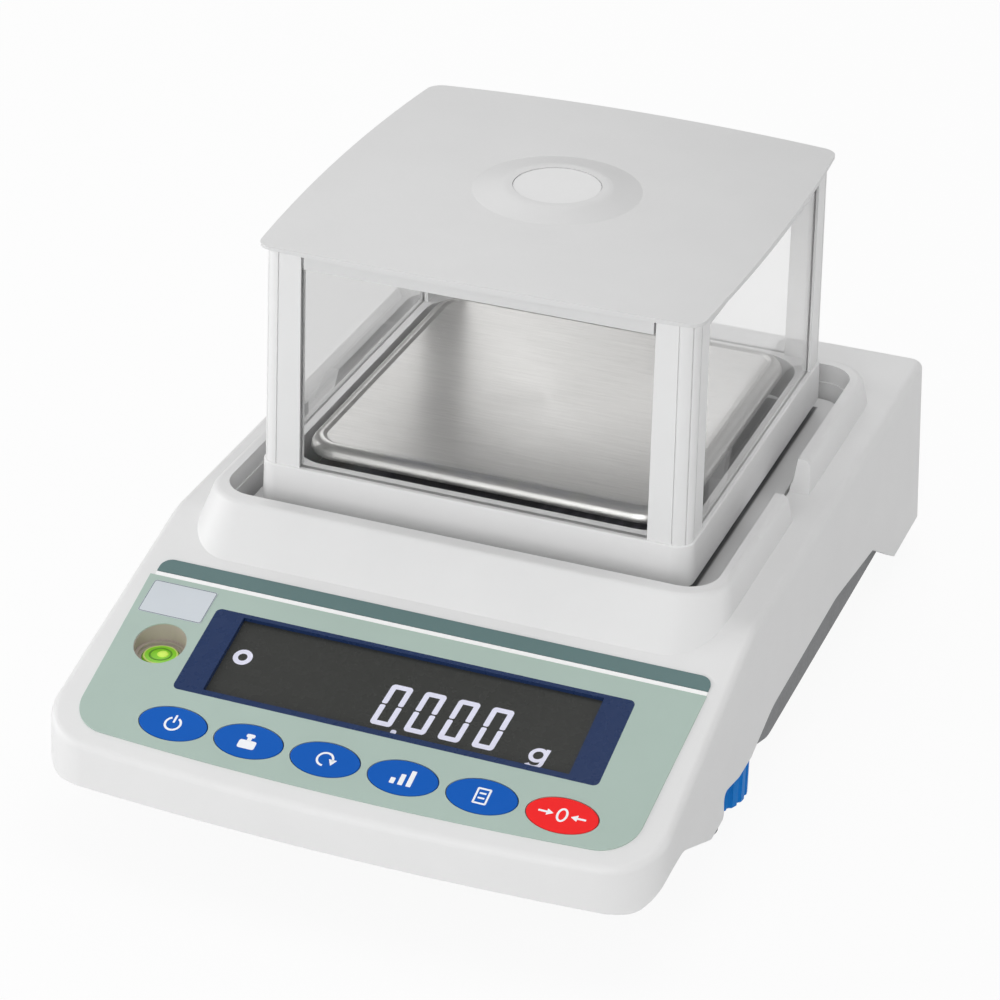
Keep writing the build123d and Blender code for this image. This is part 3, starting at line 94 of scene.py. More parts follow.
# Camera: angles, lens and distance that put the edges where the photograph has them
VIEW_TURN = radians(20.597)
VIEW_RISE = radians(28.951)
VIEW_ROLL = radians(1.335)
SENSOR = 36.0
VIEW_LENS = 119.618
VIEW_SHIFT = (50.417, 93.715)
VIEW_DISTANCE = 1127.961 * 1.016 * MM
VIEW_POINT = Vector((0, 32.5, 92.5)) * MM
FRAME_PIXELS = 1000

# Floor, and how white it is to the camera, in gloss and through the panes
FLOOR_SIDE = 8.0
FLOOR_WHITE = 0.93

# Light: sky strength, what the lamps aim at, and each lamp's name, place, side length and power
SKY = 0.3
LAMP_AIM = (0, 0, 0.06)
LAMPS = (
    ("front_lamp", (0.1, -1.7, 0.6), 1.2, 14.2),
    ("left_lamp", (-1.7, -0.3, 0.6), 1.0, 13.5),
    ("back_lamp", (-0.8, 1.4, 1.3), 1.0, 5.6),
    ("top_lamp", (0.2, 0.1, 1.9), 1.2, 9.4),
    ("right_lamp", (1.7, 0.5, 0.8), 1.2, 5.6),
)


def paint(red, green, blue):
    """Scene-linear colour of a display colour with parts from 0 to 255."""
    return tuple(((part / 255 + 0.055) / 1.055) ** 2.4 for part in (red, green, blue))


# Settings that a user would change


def colour(name, description, red, green, blue):
    """One colour setting."""
    return bpy.props.FloatVectorProperty(
        name=name,
        description=description,
        subtype="COLOR",
        size=3,
        min=0,
        max=1,
        default=paint(red, green, blue),
    )


def length(name, description, millimetres, least=0.0):
    """One length setting, in metres."""
    return bpy.props.FloatProperty(
        name=name,
        description=description,
        unit="LENGTH",
        subtype="DISTANCE",
        min=least,
        default=millimetres * MM,
    )


class BalanceColours(bpy.types.PropertyGroup):
    """Colours of the balance's finishes."""

    case: colour("Case", "Moulded upper case", 228, 228, 228)
    shield: colour("Draft shield", "Ring and posts of the draft shield", 230, 230, 230)
    lid: colour("Lid", "Lid of the draft shield", 217, 217, 217)
    tray: colour("Tray", "Cast base tray", 120, 121, 123)
    overlay: colour("Overlay", "Film of the control panel", 172, 191, 182)
    strip: colour("Header strip", "Strip above the overlay", 95, 122, 122)
    surround: colour("Surround", "Print round the display window", 32, 52, 92)
    display: colour("Display", "Dark ground of the display", 56, 57, 55)
    segments: colour("Segments", "Lit parts of the display", 222, 222, 240)
    key: colour("Keys", "Five plain keys", 6, 90, 184)
    zero_key: colour("Zero key", "Key that sets the reading to zero", 246, 38, 39)
    dial: colour("Levelling dials", "Dials of the front feet", 0, 122, 208)
    vial: colour("Level vial", "Liquid of the bubble level", 130, 205, 30)
    steel: colour("Steel", "Brushed stainless weighing pan", 205, 204, 202)


class BalanceSizes(bpy.types.PropertyGroup):
    """Sizes of the added pieces."""

    digit_height: length("Digit height", "Height of a digit up the panel", 17.4)
    digit_width: length("Digit width", "Width of a digit", 7.3)
    digit_pitch: length("Digit pitch", "Distance from digit to digit", 11.4)
    stroke: length("Stroke", "Width of a digit's strokes", 1.85)
    key_mark: length("Key mark", "Height of the symbols on the keys", 6.4)
    bubble: length("Bubble", "Radius of the bubble in the level", 1.9)


# Nodes of the finishes


def node(tree, kind, inputs=None, **settings):
    """One shader node, with its settings and with values or sockets for its inputs."""
    made = tree.nodes.new("ShaderNode" + kind)
    for key, value in settings.items():
        setattr(made, key, value)
    for key, value in (inputs or {}).items():
        if isinstance(value, bpy.types.NodeSocket):
            tree.links.new(value, made.inputs[key])
        else:
            made.inputs[key].default_value = value
    return made


def grain(tree, scale, detail=2.0, stretch=(1, 1, 1)):
    """Noise on the piece's own coordinates, stretched along one axis where asked."""
    place = node(tree, "TexCoord").outputs["Object"]
    if stretch != (1, 1, 1):
        place = node(tree, "Mapping", {"Vector": place, "Scale": stretch}).outputs["Vector"]
    return node(tree, "TexNoise", {"Vector": place, "Scale": scale, "Detail": detail}).outputs["Fac"]


def between(tree, factor, low, high):
    """Number that runs from low to high as the factor runs over the middle of its range."""
    limits = {"Value": factor, "From Min": 0.25, "From Max": 0.75, "To Min": low, "To Max": high}
    return node(tree, "MapRange", limits).outputs["Result"]


def tinted(tree, factor, tint, spread):
    """Colour that varies a little in brightness."""
    dark = tuple(part * (1 - spread) for part in tint) + (1.0,)
    light = tuple(min(part * (1 + spread), 1.0) for part in tint) + (1.0,)
    ramp = node(tree, "ValToRGB", {"Fac": factor})
    ramp.color_ramp.elements[0].position = 0.3
    ramp.color_ramp.elements[0].color = dark
    ramp.color_ramp.elements[1].position = 0.7
    ramp.color_ramp.elements[1].color = light
    return ramp.outputs["Color"]


def bumped(tree, height, distance, strength=1.0, under=None):
    """Normal from a height pattern, in metres."""
    inputs = {"Height": height, "Distance": distance, "Strength": strength}
    if under is not None:
        inputs["Normal"] = under
    return node(tree, "Bump", inputs).outputs["Normal"]


def new_finish(name):
    """Empty node material with its tree and its shader."""
    finish = bpy.data.materials.new(name)
    finish.use_nodes = True
    tree = finish.node_tree
    return finish, tree, tree.nodes["Principled BSDF"]


def give(tree, shader, **inputs):
    """Sets or links the shader's inputs, with underscores for spaces."""
    for key, value in inputs.items():
        socket = shader.inputs[key.replace("_", " ")]
        if isinstance(value, bpy.types.NodeSocket):
            tree.links.new(value, socket)
        else:
            socket.default_value = value


def moulded(name, tint, rough=(0.42, 0.52), pit=0.02, pit_scale=2600.0, spread=0.012, shine=0.45):
    """Moulded plastic: fine spark-eroded grain over a slight mottle."""
    finish, tree, shader = new_finish(name)
    fine = grain(tree, pit_scale, 3.0)
    give(
        tree,
        shader,
        Base_Color=tinted(tree, grain(tree, 38.0, 4.0), tint, spread),
        Roughness=between(tree, grain(tree, 700.0), *rough),
        Normal=bumped(tree, fine, pit * MM),
        Specular_IOR_Level=shine,
    )
    return finish


def printed(name, tint, rough=(0.34, 0.42), spread=0.02):
    """Screen-printed film: even colour with a fine matt tooth."""
    return moulded(name, tint, rough, 0.004, 3400.0, spread, 0.4)


def backed_film(name, tint, rough, spread=0.004):
    """Film printed on its back: smooth, with a faint cloudiness in colour and gloss."""
    finish, tree, shader = new_finish(name)
    give(
        tree,
        shader,
        Base_Color=tinted(tree, grain(tree, 90.0, 3.0), tint, spread),
        Roughness=between(tree, grain(tree, 240.0), *rough),
        Normal=bumped(tree, grain(tree, 60.0, 1.0), 0.0008 * MM),
        Specular_IOR_Level=0.3,
    )
    return finish


def plate_with_painted_shade(name, middle, edge):
    """Pale moulded plate with painted shade that darkens it under the shield."""
    finish, tree, shader = new_finish(name)
    place = node(tree, "TexCoord").outputs["Object"]
    parts = node(tree, "SeparateXYZ", {"Vector": place}).outputs
    across = node(tree, "Math", {0: parts["X"]}, operation="ABSOLUTE").outputs[0]
    along = node(tree, "Math", {0: parts["Y"], 1: PAN_Y}, operation="SUBTRACT").outputs[0]
    along = node(tree, "Math", {0: along}, operation="ABSOLUTE").outputs[0]
    reach = node(tree, "Math", {0: across, 1: along}, operation="MAXIMUM").outputs[0]
    limits = {"Value": reach, "From Min": PAINTED_SHADE_REACH, "From Max": PAINTED_SHADE_FADE_END}
    share = node(tree, "MapRange", limits).outputs["Result"]
    # painted shade: the middle under the shield and pan is darkened for the shade that falls there
    dark = tinted(tree, grain(tree, 160.0, 4.0), middle, 0.05)
    pale = tinted(tree, grain(tree, 38.0, 4.0), edge, 0.012)
    both = node(tree, "Mix", {0: share}, data_type="RGBA")
    tree.links.new(dark, both.inputs[6])
    tree.links.new(pale, both.inputs[7])
    give(
        tree,
        shader,
        Base_Color=both.outputs[2],
        Roughness=between(tree, grain(tree, 700.0), 0.5, 0.62),
        Normal=bumped(tree, grain(tree, 2600.0, 3.0), 0.02 * MM),
        Specular_IOR_Level=0.4,
    )
    return finish


def cast_paint(name, tint):
    """Painted casting: orange peel over a sandy surface."""
    finish, tree, shader = new_finish(name)
    peel = bumped(tree, grain(tree, 420.0, 2.0), 0.05 * MM)
    give(
        tree,
        shader,
        Base_Color=tinted(tree, grain(tree, 160.0, 5.0), tint, 0.07),
        Roughness=between(tree, grain(tree, 900.0), 0.45, 0.6),
        Normal=bumped(tree, grain(tree, 2300.0, 3.0), 0.012 * MM, 1.0, peel),
        Specular_IOR_Level=0.4,
    )
    return finish


def brushed(name, tint, rough=(0.2, 0.34), bump=0.012, spread=0.05):
    """Brushed sheet metal: hair lines along X of several widths."""
    fine = 5200.0
    along = (0.035, 1, 1)
    finish, tree, shader = new_finish(name)
    hair = grain(tree, fine, 6.0, along)
    wide = grain(tree, fine * 0.22, 4.0, along)
    both = node(tree, "Math", {0: hair, 1: wide}, operation="ADD")
    half = node(tree, "Math", {0: both.outputs[0], 1: 0.5}, operation="MULTIPLY").outputs[0]
    give(
        tree,
        shader,
        Base_Color=tinted(tree, half, tint, spread),
        Metallic=1.0,
        Roughness=between(tree, hair, *rough),
        Normal=bumped(tree, half, bump * MM),
        Anisotropic=0.4,
    )
    return finish


def machined(name, tint, rough=(0.25, 0.38)):
    """Machined or plated metal with faint tool marks."""
    finish, tree, shader = new_finish(name)
    marks = grain(tree, 2600.0, 3.0, (1, 0.08, 1))
    give(
        tree,
        shader,
        Base_Color=tinted(tree, grain(tree, 120.0, 4.0), tint, 0.05),
        Metallic=1.0,
        Roughness=between(tree, marks, *rough),
        Normal=bumped(tree, marks, 0.006 * MM),
    )
    return finish


def rubber(name, tint):
    """Rubber: dull, with a dusty mottle."""
    finish, tree, shader = new_finish(name)
    give(
        tree,
        shader,
        Base_Color=tinted(tree, grain(tree, 220.0, 5.0), tint, 0.18),
        Roughness=between(tree, grain(tree, 1300.0), 0.7, 0.85),
        Normal=bumped(tree, grain(tree, 1900.0, 4.0), 0.03 * MM),
        Specular_IOR_Level=0.3,
    )
    return finish


def clear_sheet(name, tint):
    """Clear moulded sheet that lets the lamps through, with a faint haze of fine wipe marks."""
    finish, tree, shader = new_finish(name)
    give(
        tree,
        shader,
        Base_Color=tint + (1.0,),
        Roughness=between(tree, grain(tree, 60.0, 3.0, (1, 1, 0.3)), 0.0, 0.03),
        Transmission_Weight=1.0,
        IOR=1.3,
    )
    open_shader = node(tree, "BsdfTransparent", {"Color": tint + (1.0,)})
    shadow = node(tree, "LightPath").outputs["Is Shadow Ray"]
    mix = node(tree, "MixShader", {0: shadow, 1: shader.outputs["BSDF"], 2: open_shader.outputs["BSDF"]})
    tree.links.new(mix.outputs["Shader"], tree.nodes["Material Output"].inputs["Surface"])
    return finish


def backlight_and_painted_glow(name, tint, strength):
    """Pale print with a light of its own: the backlight of the display's segments, and painted glow on the
    level's parts, which are no lamp.
    """
    finish, tree, shader = new_finish(name)
    shade = tinted(tree, grain(tree, 500.0), tint, 0.02)
    give(tree, shader, Base_Color=shade, Emission_Color=shade, Emission_Strength=strength, Roughness=0.4)
    return finish


# Selecting and shaping


def begin():
    """Goes to object mode with nothing selected."""
    if bpy.context.mode != "OBJECT":
        bpy.ops.object.mode_set(mode="OBJECT")
    bpy.ops.object.select_all(action="DESELECT")


def choose(kind, test):
    """In edit mode, selects only the faces, edges or verts that pass the test."""
    bpy.ops.mesh.select_mode(type={"faces": "FACE", "edges": "EDGE", "verts": "VERT"}[kind])
    bpy.ops.mesh.select_all(action="DESELECT")
    mesh = bmesh.from_edit_mesh(bpy.context.object.data)
    for item in getattr(mesh, kind):
        if test(item):
            item.select_set(True)
    mesh.select_flush_mode()
    bmesh.update_edit_mesh(bpy.context.object.data)


def centre(face):
    """Middle of a face."""
    return face.calc_center_median()


def panel_place(x, t, height=0.0):
    """Matrix from the panel's own coordinates at x across and t down the slope, both in millimetres."""
    up = Vector((0, cos(PANEL_SLOPE), sin(PANEL_SLOPE)))
    out = Vector((0, -sin(PANEL_SLOPE), cos(PANEL_SLOPE)))
    spot = PANEL_POINT + Vector((x * MM, 0, 0)) - up * t * MM + out * height * MM
    return Matrix(((1, 0, 0, spot.x), (0, up.y, out.y, spot.y), (0, up.z, out.z, spot.z), (0, 0, 0, 1)))


def drawing():
    """Starts an empty mesh in edit mode, for flat shapes."""
    begin()
    bpy.ops.mesh.primitive_plane_add(size=1)
    bpy.ops.object.mode_set(mode="EDIT")
    bpy.ops.mesh.delete(type="VERT")


def bar(x, y, width, height, corner=0.15):
    """Adds a flat bar with round corners to the drawing, its middle at x, y, all in millimetres."""
    spot = (x * MM, y * MM, 0)
    bpy.ops.mesh.select_all(action="DESELECT")
    bpy.ops.mesh.primitive_plane_add(size=MM, location=spot)
    bpy.ops.transform.resize(value=(width, height, 1), center_override=spot)
    if corner > 0:
        bpy.ops.mesh.bevel(offset=corner * MM, segments=3, affect="VERTICES")


def frame_of(x, y, width, height, corner, line):
    """Adds the outline of a rectangle with round corners to the drawing, in millimetres."""
    bar(x, y, width, height, corner)
    bpy.ops.mesh.inset(thickness=line * MM, depth=0)
    bpy.ops.mesh.delete(type="FACE")


def ring(x, y, radius, line, tall=1.0):
    """Adds a flat ring to the drawing, in millimetres, stretched along Y where asked."""
    spot = (x * MM, y * MM, 0)
    bpy.ops.mesh.select_all(action="DESELECT")
    bpy.ops.mesh.primitive_circle_add(vertices=40, radius=radius * MM, fill_type="NGON", location=spot)
    bpy.ops.transform.resize(value=(1, tall, 1), center_override=spot)
    bpy.ops.mesh.inset(thickness=line * MM, depth=0)
    bpy.ops.mesh.delete(type="FACE")


def arrow_head(x, y, size, turn):
    """Adds a triangle to the drawing, its point turned by an angle from +Y, in millimetres."""
    spot = (x * MM, y * MM, 0)
    bpy.ops.mesh.select_all(action="DESELECT")
    bpy.ops.mesh.primitive_circle_add(
        vertices=3, radius=size * MM, fill_type="NGON", location=spot, rotation=(0, 0, turn)
    )
    bpy.ops.mesh.bevel(offset=0.1 * MM, segments=2, affect="VERTICES")


def rub_out(test):
    """Removes the faces of the drawing whose middles pass the test, in millimetres."""
    choose("faces", lambda face: test(centre(face).x / MM, centre(face).y / MM))
    bpy.ops.mesh.delete(type="FACE")


def draw_out(x, y, move):
    """Extrudes the drawing's edge with its middle at x, y, in millimetres."""
    spot = Vector((x, y, 0)) * MM
    choose("edges", lambda edge: ((edge.verts[0].co + edge.verts[1].co) / 2 - spot).length < 0.02 * MM)
    bpy.ops.mesh.extrude_region_move(TRANSFORM_OT_translate={"value": Vector(move) * MM})


def thicken(height=PRINT):
    """Gives the flat drawing a thickness in millimetres and turns its faces outwards."""
    bpy.ops.mesh.select_all(action="SELECT")
    bpy.ops.mesh.extrude_region_move(TRANSFORM_OT_translate={"value": (0, 0, height * MM)})
    bpy.ops.mesh.select_all(action="SELECT")
    bpy.ops.mesh.remove_doubles(threshold=0.0005 * MM)
    bpy.ops.mesh.normals_make_consistent(inside=False)


def copy_of(piece):
    """Copy of a piece with its own mesh, made the active one."""
    copied = piece.copy()
    copied.data = piece.data.copy()
    bpy.context.collection.objects.link(copied)
    begin()
    copied.select_set(True)
    bpy.context.view_layer.objects.active = copied
    return copied


def complete(piece, name, body, finish, smooth=None, place=None):
    """Names a piece, puts its place in its mesh, gives it its finish and its body."""
    if bpy.context.mode != "OBJECT":
        bpy.ops.object.mode_set(mode="OBJECT")
    bpy.ops.object.transform_apply(location=True, rotation=True, scale=True)
    if place is not None:
        piece.data.transform(place)
    if smooth is not None:
        bpy.ops.object.shade_smooth_by_angle(angle=radians(smooth))
    piece.name = name
    piece.data.name = name
    piece.data.materials.clear()
    piece.data.materials.append(finish)
    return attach(piece, body)


# Operators: finishes


class BALANCE_OT_finishes(bpy.types.Operator):
    """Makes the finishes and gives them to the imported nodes"""

    bl_idname = "balance.finishes"
    bl_label = "Finishes"

    def execute(self, context):
        tints = context.scene.balance_colours
        key_grain = {"rough": (0.38, 0.48), "pit": 0.004, "spread": 0.02, "shine": 0.15}
        kinds = {
            "case_white": moulded("case_white", tuple(tints.case)),
            "tray_grey": cast_paint("tray_grey", tuple(tints.tray)),
            "overlay_green": printed("overlay_green", tuple(tints.overlay)),
            "strip_teal": printed("strip_teal", tuple(tints.strip)),
            "label_pale": printed("label_pale", paint(206, 212, 218)),
            "surround_navy": backed_film("surround_navy", tuple(tints.surround), (0.24, 0.32)),
            "lcd_dark": backed_film("lcd_dark", tuple(tints.display), (0.24, 0.3)),
            "key_blue": moulded("key_blue", tuple(tints.key), **key_grain),
            "key_red": moulded("key_red", tuple(tints.zero_key), **key_grain),
            "sleeve_taupe": moulded("sleeve_taupe", paint(176, 166, 156)),
            # the vial's glow is painted light that keeps its green bright in its shaded hole
            "vial_green": backlight_and_painted_glow("vial_green", tuple(tints.vial), 0.12),
            "shield_white": moulded("shield_white", tuple(tints.shield), (0.34, 0.44), 0.012),
            "pane_clear": clear_sheet("pane_clear", paint(243, 243, 243)),
            "lid_white": moulded("lid_white", tuple(tints.lid), (0.36, 0.46), 0.01),
            "disc_white": moulded("disc_white", paint(228, 228, 228), (0.36, 0.46), 0.01),
            "pan_steel": brushed("pan_steel", tuple(tints.steel), (0.26, 0.36), 0.006, 0.12),
            "support_alloy": machined("support_alloy", paint(205, 206, 208)),
            "soft_black": rubber("soft_black", paint(52, 52, 54)),
            # the dust plate's dark middle is painted shade under the shield and pan
            "dust_grey": plate_with_painted_shade("dust_grey", paint(118, 118, 120), paint(222, 222, 222)),
            "dial_blue": moulded("dial_blue", tuple(tints.dial), (0.4, 0.5), shine=0.15),
            "stud_pale": moulded("stud_pale", paint(205, 200, 194)),
            "sensor_alloy": machined("sensor_alloy", paint(200, 201, 204)),
            "spring_steel": brushed("spring_steel", paint(190, 190, 192), (0.2, 0.3)),
            "magnet_steel": machined("magnet_steel", paint(160, 162, 166)),
            "coil_copper": brushed("coil_copper", paint(190, 110, 70), (0.25, 0.4)),
            "board_green": moulded("board_green", paint(22, 96, 56), (0.25, 0.35), 0.03, 900.0, 0.12),
            "part_black": moulded("part_black", paint(38, 38, 40)),
            "ribbon_grey": brushed("ribbon_grey", paint(180, 180, 182), (0.4, 0.5)),
            "socket_black": moulded("socket_black", paint(44, 44, 46)),
            "socket_steel": machined("socket_steel", paint(200, 200, 204), (0.16, 0.26)),
            "terminal_brass": machined("terminal_brass", paint(205, 180, 110)),
            "screw_steel": machined("screw_steel", paint(180, 182, 186)),
        }
        for row in frame["record"]["subparts"]:
            packed = nodes[row["node"]]
            packed.data.materials.clear()
            packed.data.materials.append(kinds[row["material_slot"]])
        return {"FINISHED"}


# Operators: added pieces


class BALANCE_OT_reading(bpy.types.Operator):
    """Makes the lit parts of the display: four noughts, the point, the unit and the ring mark"""

    bl_idname = "balance.reading"
    bl_label = "Reading"

    def execute(self, context):
        sizes = context.scene.balance_sizes
        lit = backlight_and_painted_glow("lit_segments", tuple(context.scene.balance_colours.segments), 0.05)
        width, height, stroke = sizes.digit_width / MM, sizes.digit_height / MM, sizes.stroke / MM
        nought = self.nought(width, height, stroke)
        lean = Matrix(((1, DIGIT_LEAN, 0, 0), (0, 1, 0, 0), (0, 0, 1, 0), (0, 0, 0, 1)))
        last = DIGIT_COUNT - 1
        for i in range(DIGIT_COUNT):
            x = DIGIT_LAST_X + (i - last) * sizes.digit_pitch / MM
            digit = nought if i == last else copy_of(nought)
            if i == last:
                begin()
                nought.select_set(True)
                context.view_layer.objects.active = nought
            place = panel_place(x, DIGIT_LOW_T, DISPLAY_FACE) @ lean
            complete(digit, f"reading_digit_{i + 1}", "base", lit, place=place)
        drawing()
        bar(0, 0, 1.9, 1.9, 0.7)
        thicken()
        place = panel_place(*POINT_SPOT, DISPLAY_FACE)
        complete(context.object, "reading_point", "base", lit, place=place)
        drawing()
        ring(0, 0, 3.25, 1.7)
        thicken()
        place = panel_place(*RING_SPOT, DISPLAY_FACE)
        complete(context.object, "reading_ring", "base", lit, place=place)
        self.unit(lit)
        return {"FINISHED"}

    @staticmethod
    def nought(width, height, stroke):
        """Nought of a segment display, from its lower left corner, in millimetres."""
        drawing()
        low = (height + DIGIT_GAP) / 2
        arm = height - stroke - low
        bar(stroke / 2, low + arm / 2, stroke, arm, 0)
        draw_out(stroke / 2, height - stroke, (0, stroke, 0))
        draw_out(stroke, height - stroke / 2, (width - 2 * stroke, 0, 0))
        draw_out(width - stroke, height - stroke / 2, (stroke, 0, 0))
        draw_out(width - stroke / 2, height - stroke, (0, -arm, 0))
        top, half = (height - 0.01) * MM, width / 2
        choose("verts", lambda vert: vert.co.y > top and abs(vert.co.x / MM - half) > half - 0.01)
        bpy.ops.mesh.bevel(offset=1.3 * MM, segments=4, affect="VERTICES")
        choose("verts", lambda vert: vert.co.y < (low + 0.01) * MM)
        bpy.ops.mesh.bevel(offset=0.35 * MM, segments=1, affect="VERTICES")
        bpy.ops.mesh.select_all(action="SELECT")
        bpy.ops.mesh.duplicate()
        middle = (width / 2 * MM, height / 2 * MM, 0)
        bpy.ops.transform.rotate(value=pi, orient_axis="Z", center_override=middle)
        thicken()
        bpy.ops.object.mode_set(mode="OBJECT")
        return bpy.context.object

    @staticmethod
    def unit(lit):
        """Letter g as the unit of the reading: its tail, then its bowl, then its stem."""
        drawing()
        ring(2.6, -0.3, 2.7, 1.25, 0.85)
        bpy.ops.mesh.select_all(action="SELECT")
        bpy.ops.mesh.bisect(plane_co=(0, -0.3 * MM, 0), plane_no=(0, 1, 0), clear_outer=True)
        rub_out(lambda x, y: x < 1.0 and y > -1.0)
        ring(2.6, 2.55, 2.7, 1.25, 1.02)
        choose("faces", lambda face: centre(face).y > -0.3 * MM)
        bpy.ops.mesh.bisect(plane_co=(4.05 * MM, 0, 0), plane_no=(1, 0, 0), clear_outer=True)
        bar(4.675, 2.5, 1.25, 5.6, 0)
        thicken()
        stretch = Matrix(((1.1, 0.1, 0, 0), (0, 1.08, 0, 0), (0, 0, 1, 0), (0, 0, 0, 1)))
        place = panel_place(*UNIT_SPOT, DISPLAY_FACE) @ stretch
        complete(bpy.context.object, "reading_unit", "base", lit, place=place)


class BALANCE_OT_key_marks(bpy.types.Operator):
    """Prints a plain symbol on each key"""

    bl_idname = "balance.key_marks"
    bl_label = "Key marks"

    def execute(self, context):
        white = printed("key_print", paint(244, 246, 250), spread=0.01)
        scale = context.scene.balance_sizes.key_mark / (4.4 * MM)
        for i, name in enumerate(KEY_NAMES):
            drawing()
            getattr(self, name)()
            thicken()
            place = panel_place(KEY_FIRST_X + KEY_PITCH * i, KEY_T, KEY_TOP)
            place = place @ Matrix.Diagonal((scale, scale, 1, 1))
            complete(context.object, f"mark_{name}", f"key_{name}", white, place=place)
        return {"FINISHED"}

    @staticmethod
    def power():
        """Open ring with a bar through the gap."""
        ring(0, -0.1, 2.0, 0.5)
        rub_out(lambda x, y: y > 0 and abs(x) < 0.8)
        bar(0, 1.3, 0.5, 2.2)

    @staticmethod
    def calibrate():
        """Check weight with its knob."""
        bar(0, -1.0, 4.0, 2.3, 0.5)
        bar(0, 0.5, 1.0, 1.0)
        bar(0, 1.45, 2.0, 1.0, 0.4)

    @staticmethod
    def mode():
        """Ring that ends in an arrow."""
        ring(0, 0, 2.0, 0.5)
        rub_out(lambda x, y: x > 0 and -1.75 < y < -0.2)
        arrow_head(1.75, -0.3, 1.1, pi)

    @staticmethod
    def sample():
        """Three rising bars."""
        bar(-1.9, -1.3, 1.1, 1.6)
        bar(0, -0.6, 1.1, 3.0)
        bar(1.9, 0.1, 1.1, 4.4)

    @staticmethod
    def print():
        """Sheet of paper with two lines."""
        frame_of(0, 0, 3.2, 4.4, 0.3, 0.45)
        bar(0, 0.75, 1.5, 0.45, 0.1)
        bar(0, -0.55, 1.5, 0.45, 0.1)

    @staticmethod
    def zero():
        """Nought between two arrows that point at it."""
        ring(0, 0, 1.25, 0.5, 1.5)
        for side in (-1, 1):
            bar(side * 4.3, 0, 2.0, 0.5)
            arrow_head(side * 2.9, 0, 1.0, side * pi / 2)


class BALANCE_OT_label_edge(bpy.types.Operator):
    """Prints a thin line round the bare label and a white one under the header strip"""

    bl_idname = "balance.label_edge"
    bl_label = "Label edge"

    def execute(self, context):
        grey = printed("label_line", paint(96, 108, 120))
        drawing()
        frame_of(0, 0, 22.5, 14.0, 0.8, 0.22)
        thicken(0.02)
        place = panel_place(*LABEL_SPOT, LABEL_TOP)
        complete(context.object, "label_line", "base", grey, place=place)
        white = printed("line_print", paint(250, 250, 250), spread=0.01)
        drawing()
        bar(0, 0, 190.7, 1.7, 0.3)
        thicken(0.2)
        place = panel_place(*HEADER_LINE_SPOT)
        complete(context.object, "header_line", "base", white, place=place)
        return {"FINISHED"}


class BALANCE_OT_level(bpy.types.Operator):
    """Makes the bubble, the target ring and a pale ring on the level's rim that is a painted highlight; all
    three glow a little with painted light
    """

    bl_idname = "balance.level"
    bl_label = "Level"

    def execute(self, context):
        # the printed target ring glows a little with painted light
        dark = backlight_and_painted_glow("level_ring_green", paint(88, 150, 8), 0.05)
        self.hoop("level_target", 0, 3.5, 0.34, 0.5, dark)
        # pale ring on the vial's rim: a painted highlight, with painted glow
        pale = backlight_and_painted_glow("level_rim_pale", paint(206, 224, 120), 0.08)
        self.hoop("level_rim", -0.25, 5.35, 0.4, 0.6, pale)
        x, y, z = LEVEL
        begin()
        radius = context.scene.balance_sizes.bubble
        spot = ((x + 0.7) * MM, (y + 0.3) * MM, z * MM)
        bpy.ops.mesh.primitive_uv_sphere_add(segments=32, ring_count=16, radius=radius, location=spot)
        bpy.ops.object.mode_set(mode="EDIT")
        bpy.ops.mesh.select_all(action="SELECT")
        bpy.ops.mesh.bisect(plane_co=spot, plane_no=(0, 0, 1), use_fill=True, clear_inner=True)
        bpy.ops.mesh.select_all(action="SELECT")
        bpy.ops.transform.resize(value=(1, 1, 0.3), center_override=spot)
        bpy.ops.mesh.normals_make_consistent(inside=False)
        # the bubble glows with painted light
        bright = backlight_and_painted_glow("bubble_green", paint(214, 250, 96), 0.1)
        complete(context.object, "level_bubble", "base", bright, smooth=60)
        return {"FINISHED"}

    @staticmethod
    def hoop(name, height, radius, line, flat, finish):
        """Flattened ring about the level's axis, its height from the level's own, in millimetres."""
        x, y, z = LEVEL
        spot = (x * MM, y * MM, (z + height) * MM)
        begin()
        bpy.ops.mesh.primitive_torus_add(
            major_segments=48,
            minor_segments=12,
            major_radius=radius * MM,
            minor_radius=line * MM,
            location=spot,
        )
        bpy.ops.object.mode_set(mode="EDIT")
        bpy.ops.mesh.select_all(action="SELECT")
        bpy.ops.transform.resize(value=(1, 1, flat), center_override=spot)
        complete(bpy.context.object, name, "base", finish, smooth=60)


